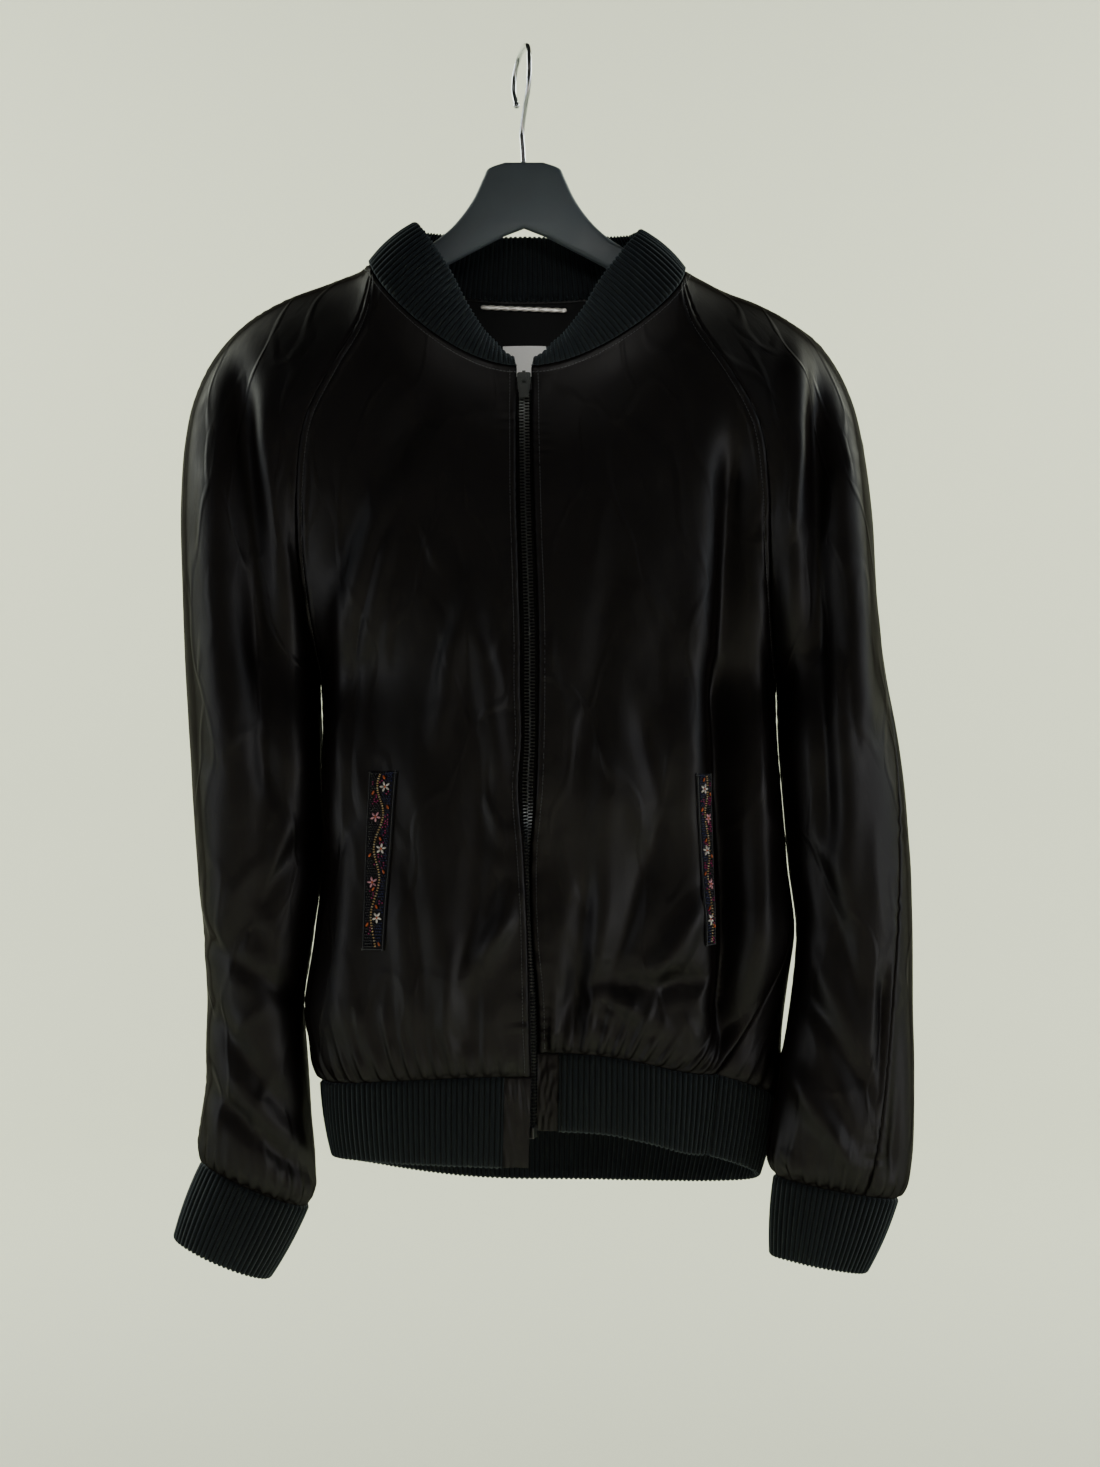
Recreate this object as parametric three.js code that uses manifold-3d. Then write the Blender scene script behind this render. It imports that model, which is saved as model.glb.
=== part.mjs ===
// A zip-front satin jacket with raglan sleeves and knit-rib trim, hanging on a flat hanger.
// Millimetres, +Z up, front towards -Y, wearer's right towards -X.
// The origin is the inside top of the hanger's hook.
import * as THREE from "three";
import { mergeVertices } from "three/addons/utils/BufferGeometryUtils.js";
import Module from "manifold-3d";

const wasm = await Module();
wasm.setup();

// ---------------------------------------------------------------- driving sizes
const seamGap = 0.3; // between two sewn pieces
const trimGap = 0.5; // between a panel and its knit rib
const satinWall = 1.6; // shell with its lining
const ribWall = 2.2;
const ribHeight = 0.7;
const ribPitch = 3.6;
const laidGap = 0.3; // between a panel and what is sewn on it
const weltThickness = 1.8;
const zip = {
  toothWidth: 3.7, toothDepth: 2.4, chainGap: 0.3,
  tapeTuck: 4.5, tapeBehind: 2.7, tapeThickness: 1,
  start: -262, end: -785,
};
const slider = { x: 0.5, y: -47.4, top: -248, width: 9.8, height: 13.5, plate: 1.2, channel: 3.2 };
const pull = { width: 7, length: 18, thickness: 1.5, slotWidth: 3.6, slotHeight: 5 };
const hangerDepth = 9;
const wireRadius = 2;

const panelColumns = { front: 14, back: 22, sleeve: 8 };
const gathers = { front: 12, back: 22, cuff: 6 }; // pleats let into each piece
const underarmLevel = 6; // body rows below the underarm
const cuffToUnderarm = 9; // sleeve rows below the underarm

// ---------------------------------------------------------------- small helpers
const V = (x, y, z) => new THREE.Vector3(x, y, z);
const mix = (a, b, f) => a + (b - a) * f;
const clamp01 = (value) => Math.min(1, Math.max(0, value));
const smooth = (value) => clamp01(value) ** 2 * (3 - 2 * clamp01(value));
const outward = { r: -1, l: 1 };
const spread = (from, to, count) => Array.from({ length: count + 1 }, (_, i) => mix(from, to, i / count));

function table(names, rows) {
  const keys = names.split(" ");
  return rows.map((row) => Object.fromEntries(keys.map((key, i) => [key, row[i]])));
}

// Every column of a table at a fractional row, on a Catmull-Rom curve through the rows.
function rowAt(rows, at) {
  const last = rows.length - 1;
  const i = Math.max(0, Math.min(Math.floor(at), last - 1));
  const f = at - i;
  const [a, b, c, d] = [i - 1, i, i + 1, i + 2].map((k) => rows[Math.max(0, Math.min(last, k))]);
  const value = {};
  for (const key of Object.keys(b)) {
    const startSlope = (c[key] - a[key]) / 2;
    const endSlope = (d[key] - b[key]) / 2;
    value[key] = b[key] * (2 * f ** 3 - 3 * f ** 2 + 1) + startSlope * (f ** 3 - 2 * f ** 2 + f)
      + c[key] * (3 * f ** 2 - 2 * f ** 3) + endSlope * (f ** 3 - f ** 2);
  }
  return value;
}

// The columns of a table whose first column is a place along the piece.
function alongTable(rows, key, place) {
  let i = 0;
  while (i < rows.length - 2 && place > rows[i + 1][key]) i += 1;
  return rowAt(rows, i + clamp01((place - rows[i][key]) / (rows[i + 1][key] - rows[i][key])));
}

function bezier(start, startHandle, endHandle, end, f) {
  const g = 1 - f;
  return V(0, 0, 0)
    .addScaledVector(start, g ** 3 + 3 * g * g * f).addScaledVector(startHandle, 3 * g * g * f)
    .addScaledVector(endHandle, 3 * g * f * f).addScaledVector(end, f ** 3 + 3 * g * f * f);
}

// ---------------------------------------------------------------- the cut, as tables
// Front edges beside the zip, hem to neck; reach is how far the chest runs flat from the edge.
const frontEdge = {
  r: table("x y z reach", [
    [6, -68, -748, 80], [5, -77, -705, 88], [4, -79, -652, 86], [1.5, -78, -596, 82],
    [-2.2, -77, -546, 82],
    [0, -76, -508, 82], [-1, -75, -474, 82], [-1, -74.5, -440, 84], [-2, -73, -405, 86],
    [-3, -70, -372, 88],
    [-4, -66, -340, 84], [-4.3, -60, -310, 76], [-4.5, -54, -284, 66], [-4.6, -48, -262, 52],
    [-4.6, -42, -241, 45],
  ]),
  l: table("x y z reach", [
    [10.5, -55.5, -733, 76], [9.5, -63, -694, 90], [5.5, -67, -648, 100], [4.5, -66, -596, 100],
    [8.6, -75, -548, 98],
    [10, -76, -510, 96], [10.6, -75, -472, 94], [10.6, -74.5, -440, 92], [9.8, -73, -405, 90],
    [8.5, -70, -372, 90],
    [7.5, -66, -340, 84], [6.8, -60, -310, 76], [6.2, -54, -284, 66], [5.9, -48, -262, 52],
    [5.7, -42, -241, 45],
  ]),
};

// Side seams, hem to just under the arm.
// Handles: how the cloth leaves the seam to the front and to the back.
const sideSeam = {
  r: table("x y z frontIn frontFore backOut backAft backUp", [
    [-144, -26, -757, 6, 40, 20, 45, -8], [-157.5, -22, -712, 4, 48, 8, 50, -4],
    [-152.6, -16, -655, 3, 52, 4, 52, 0],
    [-146.2, -12, -600, 3, 54, 2, 54, 0], [-146, -10, -550, 3, 54, 2, 54, 0],
    [-146.6, -7, -505, 4, 54, 0, 52, 0],
  ]),
  l: table("x y z frontIn frontFore backOut backAft backUp", [
    [138, -46, -750, 34, 12, 126, 30, -40], [165, -42, -708, 20, 24, 75, 50, -22],
    [192, -32, -655, 6, 36, 24, 58, -6],
    [190.5, -20, -600, 4, 46, 8, 58, 0], [187.2, -12, -550, 3, 52, 3, 56, 0],
    [184.8, -8, -505, 4, 54, 0, 54, 0],
  ]),
};

// Centre back, hem to neck.
const centreBack = table("x y z reach", [
  [5, 50, -786, 90], [12, 56, -725, 96], [15, 60, -660, 100], [16, 62, -600, 100], [17, 62, -550, 100],
  [17, 61, -505, 100], [17, 60, -466, 98], [17, 58, -430, 96], [16, 56, -395, 94], [14, 53, -358, 92],
  [12, 49, -320, 88], [9, 44, -282, 80], [5, 39, -246, 68], [2, 34, -212, 54], [0, 29, -180, 44],
]);

// Raglan seams, underarm to neck.
const raglan = {
  front: {
    r: table("x y z", [
      [-150, -4, -466], [-154, -20, -443], [-159, -34, -410], [-162.5, -45, -370], [-161.5, -54, -325],
      [-156, -56, -283], [-139, -50, -245], [-119, -40, -207], [-110, -30, -168],
    ]),
    l: table("x y z", [
      [186, -4, -466], [182, -22, -440], [178.5, -36, -407], [177, -46, -366], [175.5, -53, -328],
      [169, -56, -285], [150, -51, -247], [126, -41, -209], [115.5, -30, -175],
    ]),
  },
  back: {
    r: table("x y z", [
      [-150, -4, -466], [-156, 14, -440], [-161, 27, -405], [-163, 36, -366], [-160, 41, -324],
      [-150, 42, -284], [-133, 38, -244], [-115, 31, -206], [-98, 22, -168],
    ]),
    l: table("x y z", [
      [186, -4, -466], [184, 14, -438], [180, 27, -403], [178, 36, -364], [173, 41, -324],
      [162, 42, -284], [143, 38, -246], [121, 31, -208], [102, 22, -170],
    ]),
  },
};

// How the cloth leaves a raglan seam: into the body, and out into the sleeve.
const raglanHandles = {
  front: table("bodyIn bodyFore bodyUp sleeveOut sleeveFore sleeveUp", [
    [25, 40, 0, 25, 56, 0], [28, 34, 0, 28, 40, 0], [30, 26, 0, 30, 26, 2], [32, 15, -1, 30, 12, 4],
    [32, 6, -3, 29, 2, 8],
    [32, 0, -6, 26, -4, 11], [33, 0, -10, 20, -8, 12], [30, 3, -16, 13, -10, 11], [6, 18, -20, 3, -9, 7],
  ]),
  back: table("bodyIn bodyFore bodyUp sleeveOut sleeveFore sleeveUp", [
    [25, -40, 0, 25, -56, 0], [28, -32, 0, 28, -38, 0], [30, -24, 0, 29, -24, 2],
    [32, -14, -1, 29, -12, 4],
    [32, -7, -3, 28, -3, 8], [32, -3, -6, 25, 4, 11], [30, -2, -10, 20, 8, 12],
    [26, -3, -14, 12, 9, 10], [22, -6, -5, 8, 10, 4],
  ]),
};

// Ridge of the sleeve, underarm level to neck, with how far it stays flat to the front and back.
const ridge = {
  r: table("x y z flat drop", [
    [-250, -1, -405, 77, 0], [-252, 0, -345, 70, 4], [-249, 0, -291, 62, 8],
    [-241, 0, -254, 52, 12], [-226, 0, -225, 42, 14],
    [-204, 0, -202.5, 33, 7], [-176, 0, -186, 26, 4], [-144, 0, -174, 20, 3], [-113, 0, -162.5, 12, 1],
  ]),
  l: table("x y z flat drop", [
    [257.5, -2, -400, 77, 0], [255.5, 0, -345, 70, 4], [247.5, 0, -285, 62, 8],
    [236.5, 0, -248, 52, 12], [219, 0, -219.5, 42, 14],
    [197, 0, -202.5, 33, 7], [172, 0, -189, 26, 4], [146, 0, -179, 20, 3], [117.5, 0, -164.5, 12, 1],
  ]),
};

// Lower sleeve, cuff seam upwards: inner seam, outer ridge, depth to the front and back, and
// where the overarm seam lies (0 at the ridge, -1 at the inner seam round the front).
const lowerSleeve = {
  r: table("inX inY inZ outX outY outZ fore aft seam", [
    [-160, -8, -852, -234, -12, -819, 24, 24, 0], [-154, -8, -830, -237, -12, -797, 34, 32, 0],
    [-157, -8, -785, -233, -10, -763, 38, 34, 0],
    [-160, -8, -745, -232.5, -8, -725, 40, 36, 0], [-162, -10, -703, -232.5, -6, -685, 42, 40, 0],
    [-156, -10, -658, -236, -5, -642, 46, 44, 0], [-149.5, -10, -605, -240, -4, -586, 52, 50, 0],
    [-149.5, -8, -552, -244, -3, -525, 56, 54, 0], [-150, -6, -507, -248, -2, -464, 58, 56, 0],
  ]),
  l: table("inX inY inZ outX outY outZ fore aft seam", [
    [183, -36, -824, 269, -36, -840, 20, 20, -0.36], [177.5, -35, -806, 279, -35, -816, 30, 27, -0.36],
    [180, -33, -783, 281.5, -33, -780, 34, 30, -0.34], [187, -30, -748, 282, -30, -735, 36, 33, -0.32],
    [195, -24, -700, 282, -25, -688, 40, 36, -0.3], [200, -18, -650, 282, -20, -638, 44, 40, -0.27],
    [195, -14, -603, 281, -14, -588, 48, 46, -0.23], [191, -10, -552, 275.5, -8, -522, 52, 52, -0.17],
    [188, -8, -508, 265, -4, -462, 54, 54, -0.1],
  ]),
};

// Waistband's fall from the hem: 0 and 3 at the two front edges, 1 and 2 at the side seams.
const bandFall = table("place inwards aft up", [
  [0, -2, 5, -66], [0.4, 1, 6, -60], [0.8, 4, 6, -55], [1, 7, 3, -55], [1.2, 12, -2, -56],
  [1.5, 0, -7, -58],
  [1.8, 14, -3, -55], [2, 6, 4, -58], [2.4, 1, 5, -57], [2.7, 0, 5, -56], [3, 1, 5, -57],
]);

// Collar's rise from the neckline, front edge to centre back: tapered at the zip, leaning in at the side.
const collarRise = table("place inwards aft up", [
  [0, -3, 1, 6], [0.12, 1, 3, 15], [0.35, 16, 5, 22], [0.6, 30, 7, 31], [0.85, 35, 7, 33], [1, 34, 5, 31],
  [1.5, 31, 0, 30], [2, 22, -2, 37], [2.2, 10, -2, 43], [2.5, 0, -1, 48],
]);
const collarBulge = 2.5;

// Cuffs: the axis that each tube falls along, and its width at the lower end against the seam.
const cuffFall = {
  r: { axis: V(-25, 2, -55), lowerWidth: 0.9 },
  l: { axis: V(-11, 2, -56), lowerWidth: 0.77 },
};

// Largest folds: a straight stretch each, its height above the cloth (or depth below) and half width.
const frontFolds = {
  r: table("x1 z1 x2 z2 height width", [
    [-106, -352, -126, -432, 6, 11], [-126, -432, -131, -560, 7, 11], [-124, -600, -128, -700, 4, 12],
    [-98, -382, -113, -445, 4, 8], [-113, -445, -117, -540, 3, 8], [-42, -425, -55, -486, 4, 9],
    [-34, -430, -16, -520, 4, 9], [-70, -560, -52, -700, 4, 12], [2, -618, -30, -664, 5, 10],
    [-85, -300, -112, -352, -4, 12], [-30, -560, -38, -720, -4, 10], [-84, -640, -76, -735, 3, 9],
  ]),
  l: table("x1 z1 x2 z2 height width", [
    [150, -330, 147, -480, -14, 12], [147, -480, 147, -620, -24, 13], [147, -620, 146, -735, -24, 12],
    [168, -420, 170, -640, 5, 10], [122, -440, 116, -520, 5, 13], [88, -512, 99, -558, -5, 10],
    [99, -558, 86, -602, -5, 10], [86, -602, 64, -682, -5, 10], [48, -684, 122, -682, -6, 8],
    [62, -692, 92, -711, 5, 8], [97, -671, 116, -645, 6, 9], [43, -635, 39, -682, -8, 9],
    [39, -682, 34, -726, -10, 9], [60, -560, 52, -640, 4, 11], [60, -420, 44, -520, -3, 12],
  ]),
};
const backFolds = table("x1 z1 x2 z2 height width", [
  [-110, -330, -122, -480, 6, 13], [-122, -480, -112, -690, 7, 13], [-86, -400, -92, -640, -6, 12],
  [-40, -470, -52, -720, 5, 14], [12, -400, 20, -560, -4, 14], [20, -560, 6, -730, -5, 13],
  [66, -480, 84, -700, 5, 13], [128, -340, 140, -500, 6, 13], [140, -500, 128, -690, 8, 13],
  [104, -420, 110, -640, -6, 12],
]);
const sleeveFolds = {
  r: table("x1 z1 x2 z2 height width", [
    [-203, -276, -192, -380, -9, 11], [-192, -380, -182, -530, -9, 11], [-182, -530, -190, -640, -5, 12],
    [-184, -300, -172, -400, 5, 10], [-172, -400, -164, -520, 5, 10], [-220, -330, -216, -500, 4, 12],
    [-168, -600, -206, -655, -5, 10], [-172, -690, -218, -660, -5, 9], [-214, -720, -176, -770, -5, 9],
    [-206, -780, -176, -808, -6, 8], [-222, -560, -216, -640, 4, 12],
  ]),
  l: table("x1 z1 x2 z2 height width", [
    [197, -256, 193, -350, 6, 10], [193, -350, 196, -415, 4, 10], [212, -292, 210, -440, -9, 9],
    [210, -440, 216, -560, -7, 10],
    [234, -330, 240, -480, 5, 11], [214, -610, 236, -680, -5, 9], [206, -700, 232, -740, -5, 9],
    [258, -700, 262, -800, -6, 8], [202, -760, 226, -800, 5, 8], [226, -480, 228, -600, 4, 12],
  ]),
};

// ---------------------------------------------------------------- base surfaces of the cloth
const place = (row) => V(row.x, row.y, row.z);

// Where the body's side edge lies at a level, and how the cloth leaves it.
function bodySide(side, face, level) {
  const out = outward[side];
  const first = raglan[face][side][0];
  if (level <= underarmLevel) {
    const handle = raglanHandles[face][0];
    const top = face === "front"
      ? { frontIn: handle.bodyIn, frontFore: handle.bodyFore, backOut: 0, backAft: 0, backUp: 0 }
      : { frontIn: 0, frontFore: 0, backOut: -handle.bodyIn, backAft: -handle.bodyFore, backUp: 0 };
    const row = rowAt([...sideSeam[side], { ...first, ...top }], level);
    const leave = face === "front"
      ? V(-out * row.frontIn, -row.frontFore, 0)
      : V(out * row.backOut, row.backAft, row.backUp);
    return { at: place(row), leave };
  }
  const row = rowAt(raglan[face][side], level - underarmLevel);
  const handle = rowAt(raglanHandles[face], level - underarmLevel);
  return { at: place(row), leave: V(-out * handle.bodyIn, -handle.bodyFore, handle.bodyUp) };
}

// Front: across runs from the zip edge (0) to the side edge (1).
const frontCloth = (side) => (level, across) => {
  const edge = rowAt(frontEdge[side], level);
  const end = bodySide(side, "front", level);
  return bezier(place(edge), V(outward[side] * edge.reach, -3, 0), end.leave, end.at, across);
};

// Back: across runs from the wearer's right side (0) over the centre back (0.5) to the left (1).
const backCloth = (level, across) => {
  const centre = rowAt(centreBack, level);
  const side = across < 0.5 ? "r" : "l";
  const start = bodySide(side, "back", level);
  const f = 1 - Math.abs(2 * across - 1);
  return bezier(start.at, start.leave, V(outward[side] * centre.reach, 1, 0), place(centre), f);
};

// Sleeve: around runs from the inner or front raglan seam (-1) over the ridge (0) to the back (1).
const halfEllipse = 4 / 3; // handle length of a cubic that stands for half an ellipse
const sleeveCloth = (side) => (level, around) => {
  const face = around < 0 ? "front" : "back";
  const fore = around < 0 ? -1 : 1;
  let inner;
  let outer;
  let leaveInner;
  let leaveOuter;
  if (level <= cuffToUnderarm) {
    const top = { ...raglan.front[side][0] };
    const topRidge = ridge[side][0];
    const handle = raglanHandles.front[0];
    const rows = lowerSleeve[side].map((row) => ({ ...row, lean: 0 }));
    rows.push({
      inX: top.x, inY: top.y, inZ: top.z, outX: topRidge.x, outY: topRidge.y, outZ: topRidge.z,
      fore: handle.sleeveFore / halfEllipse, aft: handle.sleeveFore / halfEllipse,
      seam: 0, lean: handle.sleeveOut,
    });
    const row = rowAt(rows, level);
    const ridgeDepth = rowAt([...lowerSleeve[side].map((r) => ({ fore: r.fore, aft: r.aft })),
      { fore: topRidge.flat / halfEllipse, aft: topRidge.flat / halfEllipse }], level);
    const innerDepth = around < 0 ? row.fore : row.aft;
    const outerDepth = around < 0 ? ridgeDepth.fore : ridgeDepth.aft;
    inner = V(row.inX, row.inY, row.inZ);
    outer = V(row.outX, row.outY, row.outZ);
    leaveInner = V(outward[side] * row.lean, fore * halfEllipse * innerDepth, 0);
    leaveOuter = V(0, fore * halfEllipse * outerDepth, 0);
  } else {
    const k = level - cuffToUnderarm;
    const top = rowAt(ridge[side], k);
    const handle = rowAt(raglanHandles[face], k);
    inner = place(rowAt(raglan[face][side], k));
    outer = place(top);
    leaveInner = V(outward[side] * handle.sleeveOut, -handle.sleeveFore, handle.sleeveUp);
    leaveOuter = V(0, fore * top.flat, -top.drop);
  }
  return bezier(inner, leaveInner, leaveOuter, outer, 1 - Math.abs(around));
};

const overarmSeam = (side, level) => {
  if (level > cuffToUnderarm) return 0;
  return rowAt([...lowerSleeve[side].map((row) => ({ seam: row.seam })), { seam: 0 }], level).seam;
};

// ---------------------------------------------------------------- folds and directions
const foldRunOut = 3; // a fold dies out this many widths past its ends

// Folds that meet end to end make one ridge or valley, no higher where they join.
function foldHeight(folds, x, z) {
  let ridgeHeight = 0;
  let valleyDepth = 0;
  for (const fold of folds) {
    const run = [fold.x2 - fold.x1, fold.z2 - fold.z1];
    const length = Math.hypot(...run);
    const along = ((x - fold.x1) * run[0] + (z - fold.z1) * run[1]) / length ** 2;
    const past = ((along - clamp01(along)) * length) / foldRunOut;
    const aside = ((x - fold.x1) * run[1] - (z - fold.z1) * run[0]) / length;
    const height = fold.height * Math.exp(-((Math.hypot(aside, past) / fold.width) ** 2));
    ridgeHeight = Math.max(ridgeHeight, height);
    valleyDepth = Math.min(valleyDepth, height);
  }
  return ridgeHeight + valleyDepth;
}

const foldFade = 0.09; // share of a piece's width over which folds die out at its seams

function faded(cloth, side, folds, bottomRows) {
  const flip = side === "r" ? -1 : 1;
  return (level, across) => {
    const at = cloth(level, across);
    const fade = smooth(across / foldFade) * smooth((1 - across) / foldFade) * smooth(level / bottomRows);
    if (fade === 0) return at;
    const height = foldHeight(folds, at.x, at.z) * fade;
    return at.addScaledVector(directions(cloth, level, across, flip).normal, height);
  };
}

// Directions of a surface at a place: across, up, and its outward normal.
function directions(cloth, level, across, flip, range = [0, 1], top = 99) {
  const [e, d] = [0.012, 0.05];
  const [a0, a1] = [Math.max(range[0], across - e), Math.min(range[1], across + e)];
  const [l0, l1] = [Math.max(0, level - d), Math.min(top, level + d)];
  const alongAcross = cloth(level, a1).sub(cloth(level, a0)).normalize();
  const upwards = cloth(l1, across).sub(cloth(l0, across)).normalize();
  const normal = V(0, 0, 0).crossVectors(alongAcross, upwards).multiplyScalar(flip).normalize();
  return { across: alongAcross, up: upwards, normal };
}

// ---------------------------------------------------------------- walls
class Wall {
  constructor() {
    this.points = [];
    this.faces = [];
  }

  row(points, closed = false) {
    const first = this.points.length;
    this.points.push(...points);
    const indices = points.map((_, i) => first + i);
    if (closed) indices.push(first);
    return indices;
  }

  // Faces between two rows of points, whose places along the row are given.
  strip(low, high, lowAt, highAt) {
    let i = 0;
    let j = 0;
    while (i < low.length - 1 || j < high.length - 1) {
      const nextLow = i < low.length - 1 ? lowAt[i + 1] : Infinity;
      const nextHigh = j < high.length - 1 ? highAt[j + 1] : Infinity;
      let takeLow = nextLow < nextHigh;
      if (Math.abs(nextLow - nextHigh) < 1e-9) {
        const lowCut = this.points[low[i + 1]].distanceTo(this.points[high[j]]);
        const highCut = this.points[low[i]].distanceTo(this.points[high[j + 1]]);
        takeLow = lowCut <= highCut;
      }
      if (takeLow) {
        this.faces.push([low[i], low[i + 1], high[j]]);
        i += 1;
      } else {
        this.faces.push([low[i], high[j + 1], high[j]]);
        j += 1;
      }
    }
  }

  geometry() {
    const merged = new THREE.BufferGeometry();
    const coordinates = this.points.flatMap((p) => [p.x, p.y, p.z]);
    merged.setAttribute("position", new THREE.Float32BufferAttribute(coordinates, 3));
    let volume = 0;
    for (const [a, b, c] of this.faces) {
      const [p, q, r] = [this.points[a], this.points[b], this.points[c]];
      volume += p.dot(V(0, 0, 0).crossVectors(q, r));
    }
    merged.setIndex(this.faces.flatMap(([a, b, c]) => (volume > 0 ? [a, b, c] : [a, c, b])));
    return merged;
  }
}

// A closed wall from rows of outer and inner points, each row { at, across, points }.
function wallFrom(outer, inner, closed = false) {
  const wall = new Wall();
  const lay = (rows) => rows.map((row) => ({
    at: row.at, across: closed ? [...row.across, 1] : row.across, index: wall.row(row.points, closed),
  }));
  const out = lay(outer);
  const inn = lay(inner);
  for (let i = 0; i < out.length - 1; i += 1) {
    wall.strip(out[i].index, out[i + 1].index, out[i].across, out[i + 1].across);
  }
  const insideStart = wall.faces.length;
  for (let i = 0; i < inn.length - 1; i += 1) {
    wall.strip(inn[i].index, inn[i + 1].index, inn[i].across, inn[i + 1].across);
  }
  for (let i = insideStart; i < wall.faces.length; i += 1) wall.faces[i].reverse();
  const [bottomOut, bottomIn, topOut, topIn] = [out[0], inn[0], out[out.length - 1], inn[inn.length - 1]];
  wall.strip(bottomIn.index, bottomOut.index, bottomIn.across, bottomOut.across);
  wall.strip(topOut.index, topIn.index, topOut.across, topIn.across);
  if (!closed) {
    const heights = (rows) => rows.map((row) => row.at);
    const firsts = (rows) => rows.map((row) => row.index[0]);
    const lasts = (rows) => rows.map((row) => row.index[row.index.length - 1]);
    wall.strip(firsts(out), firsts(inn), heights(out), heights(inn));
    wall.strip(lasts(inn), lasts(out), heights(inn), heights(out));
  }
  return wall.geometry();
}

// ---------------------------------------------------------------- shell panels
// Each surface knows its shape with folds, its seams at both sides, and its ends.
function panelSurface(base, side, folds, bottomRows, top) {
  const flip = side === "r" ? -1 : 1;
  const shaped = faded(base, side, folds, bottomRows);
  return {
    flip, top, base, shaped,
    frame: (level, across) => directions(base, level, across, flip, [0, 1], top),
    shapedFrame: (level, across) => directions(shaped, level, across, flip, [0, 1], top),
  };
}

const surfaces = {};
for (const side of ["r", "l"]) {
  const overarm = (level) => overarmSeam(side, level);
  const sleeve = sleeveCloth(side);
  surfaces[`front_${side}`] = panelSurface(frontCloth(side), side, frontFolds[side], 1.2, 14);
  surfaces[`sleeve_front_${side}`] = panelSurface(
    (level, across) => sleeve(level, mix(-1, overarm(level), across)), side, sleeveFolds[side], 1, 17,
  );
  surfaces[`sleeve_back_${side}`] = panelSurface(
    (level, across) => sleeve(level, mix(overarm(level), 1, across)), side, sleeveFolds[side], 1, 17,
  );
}
surfaces.back = panelSurface(backCloth, "r", backFolds, 1.2, 14);

// The other piece at each side edge of a piece: its name, where its edge is, and its level there.
function neighbour(name, edge, level) {
  const side = name.slice(-1);
  const onSleeve = (k) => k - underarmLevel + cuffToUnderarm;
  const onBody = (k) => k - cuffToUnderarm + underarmLevel;
  if (name.startsWith("front")) {
    if (edge === 0) return null;
    return level > underarmLevel
      ? [`sleeve_front_${side}`, 0, onSleeve(level)]
      : ["back", side === "r" ? 0 : 1, level];
  }
  if (name === "back") {
    const to = edge === 0 ? "r" : "l";
    return level > underarmLevel ? [`sleeve_back_${to}`, 1, onSleeve(level)] : [`front_${to}`, 1, level];
  }
  if (name.startsWith("sleeve_front")) {
    if (edge === 1) return [`sleeve_back_${side}`, 0, level];
    return level > cuffToUnderarm
      ? [`front_${side}`, 1, onBody(level)]
      : [`sleeve_back_${side}`, 1, level];
  }
  if (edge === 0) return [`sleeve_front_${side}`, 1, level];
  return level > cuffToUnderarm
    ? ["back", side === "r" ? 0 : 1, onBody(level)]
    : [`sleeve_front_${side}`, 0, level];
}

const underarmSetback = 0.7;

// Four pieces meet under the arm, on a saddle whose outside looks down.
function underarmCorner(name) {
  const sleeve = name.startsWith("sleeve");
  return (edge) => {
    const side = name === "back" ? ["r", "l"][edge] : name.slice(-1);
    const inwards = -outward[side] * (sleeve ? -1 : 1);
    const aft = name === "back" || name.startsWith("sleeve_back") ? 1 : -1;
    return {
      shift: V(inwards * underarmSetback, aft * underarmSetback, 0),
      normal: V(-inwards, aft, -1).normalize(),
    };
  };
}

function edgeAt(name, edge, level) {
  const surface = surfaces[name];
  const frame = surface.frame(level, edge);
  const other = neighbour(name, edge, level);
  const isSleeve = name.startsWith("sleeve");
  const atCorner = Math.abs(level - (isSleeve ? cuffToUnderarm : underarmLevel)) < 1e-6;
  const overarmEdge = name.startsWith("sleeve_front") ? 1 : 0;
  const onOverarm = isSleeve && other[0].startsWith("sleeve") && edge === overarmEdge;
  const onZip = name.startsWith("front") && edge === 0;
  if (atCorner && !onOverarm && !onZip) return underarmCorner(name)(edge);
  if (!other) return { shift: V(0, 0, 0), normal: frame.normal };
  const otherFrame = surfaces[other[0]].frame(other[2], other[1]);
  const normal = V(0, 0, 0).addVectors(frame.normal, otherFrame.normal).normalize();
  const inwards = V(0, 0, 0).crossVectors(frame.up, normal).normalize();
  const intoPiece = frame.across.clone().multiplyScalar(edge === 0 ? 1 : -1);
  const guide = intoPiece.sub(otherFrame.across.clone().multiplyScalar(other[1] === 0 ? 1 : -1));
  if (inwards.dot(guide) < 0) inwards.negate();
  return { shift: inwards.multiplyScalar(seamGap / 2), normal };
}

// The wall of a panel: a grid of places with a wall direction each. Its lowest and highest rows
// stop at the knit rib that is sewn there.
function panelGrid(name, rows, foot, head) {
  const surface = surfaces[name];
  return rows.map(({ level, across, lift }) => ({
    at: level,
    across,
    cells: across.map((u, i) => {
      const at = surface.shaped(level, u);
      let { normal } = surface.shapedFrame(level, u);
      if (u === 0 || u === 1) {
        const edge = edgeAt(name, u, level);
        at.add(edge.shift);
        normal = edge.normal;
      }
      if (lift) at.addScaledVector(surface.frame(level, u).normal, lift[i]);
      const end = { 0: foot, [surface.top]: head }[level];
      if (end) {
        const seam = end(u);
        at.addScaledVector(seam.into, -trimGap / 2);
        normal = seam.normal;
      }
      return { at, normal };
    }),
  }));
}

const side = (grid, offset) => grid.map((row) => ({
  at: row.at,
  across: row.across,
  points: row.cells.map((cell) => cell.at.clone().addScaledVector(cell.normal, offset)),
}));

const wallOf = (grid, thickness) => wallFrom(side(grid, thickness / 2), side(grid, -thickness / 2));

// Rows of a panel: pleats just above the rib, then plain rows up to the neck.
const pleatShape = [{ level: 0.12, share: 0.8 }, { level: 0.4, share: 1 }, { level: 0.85, share: 0.35 }];

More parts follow.
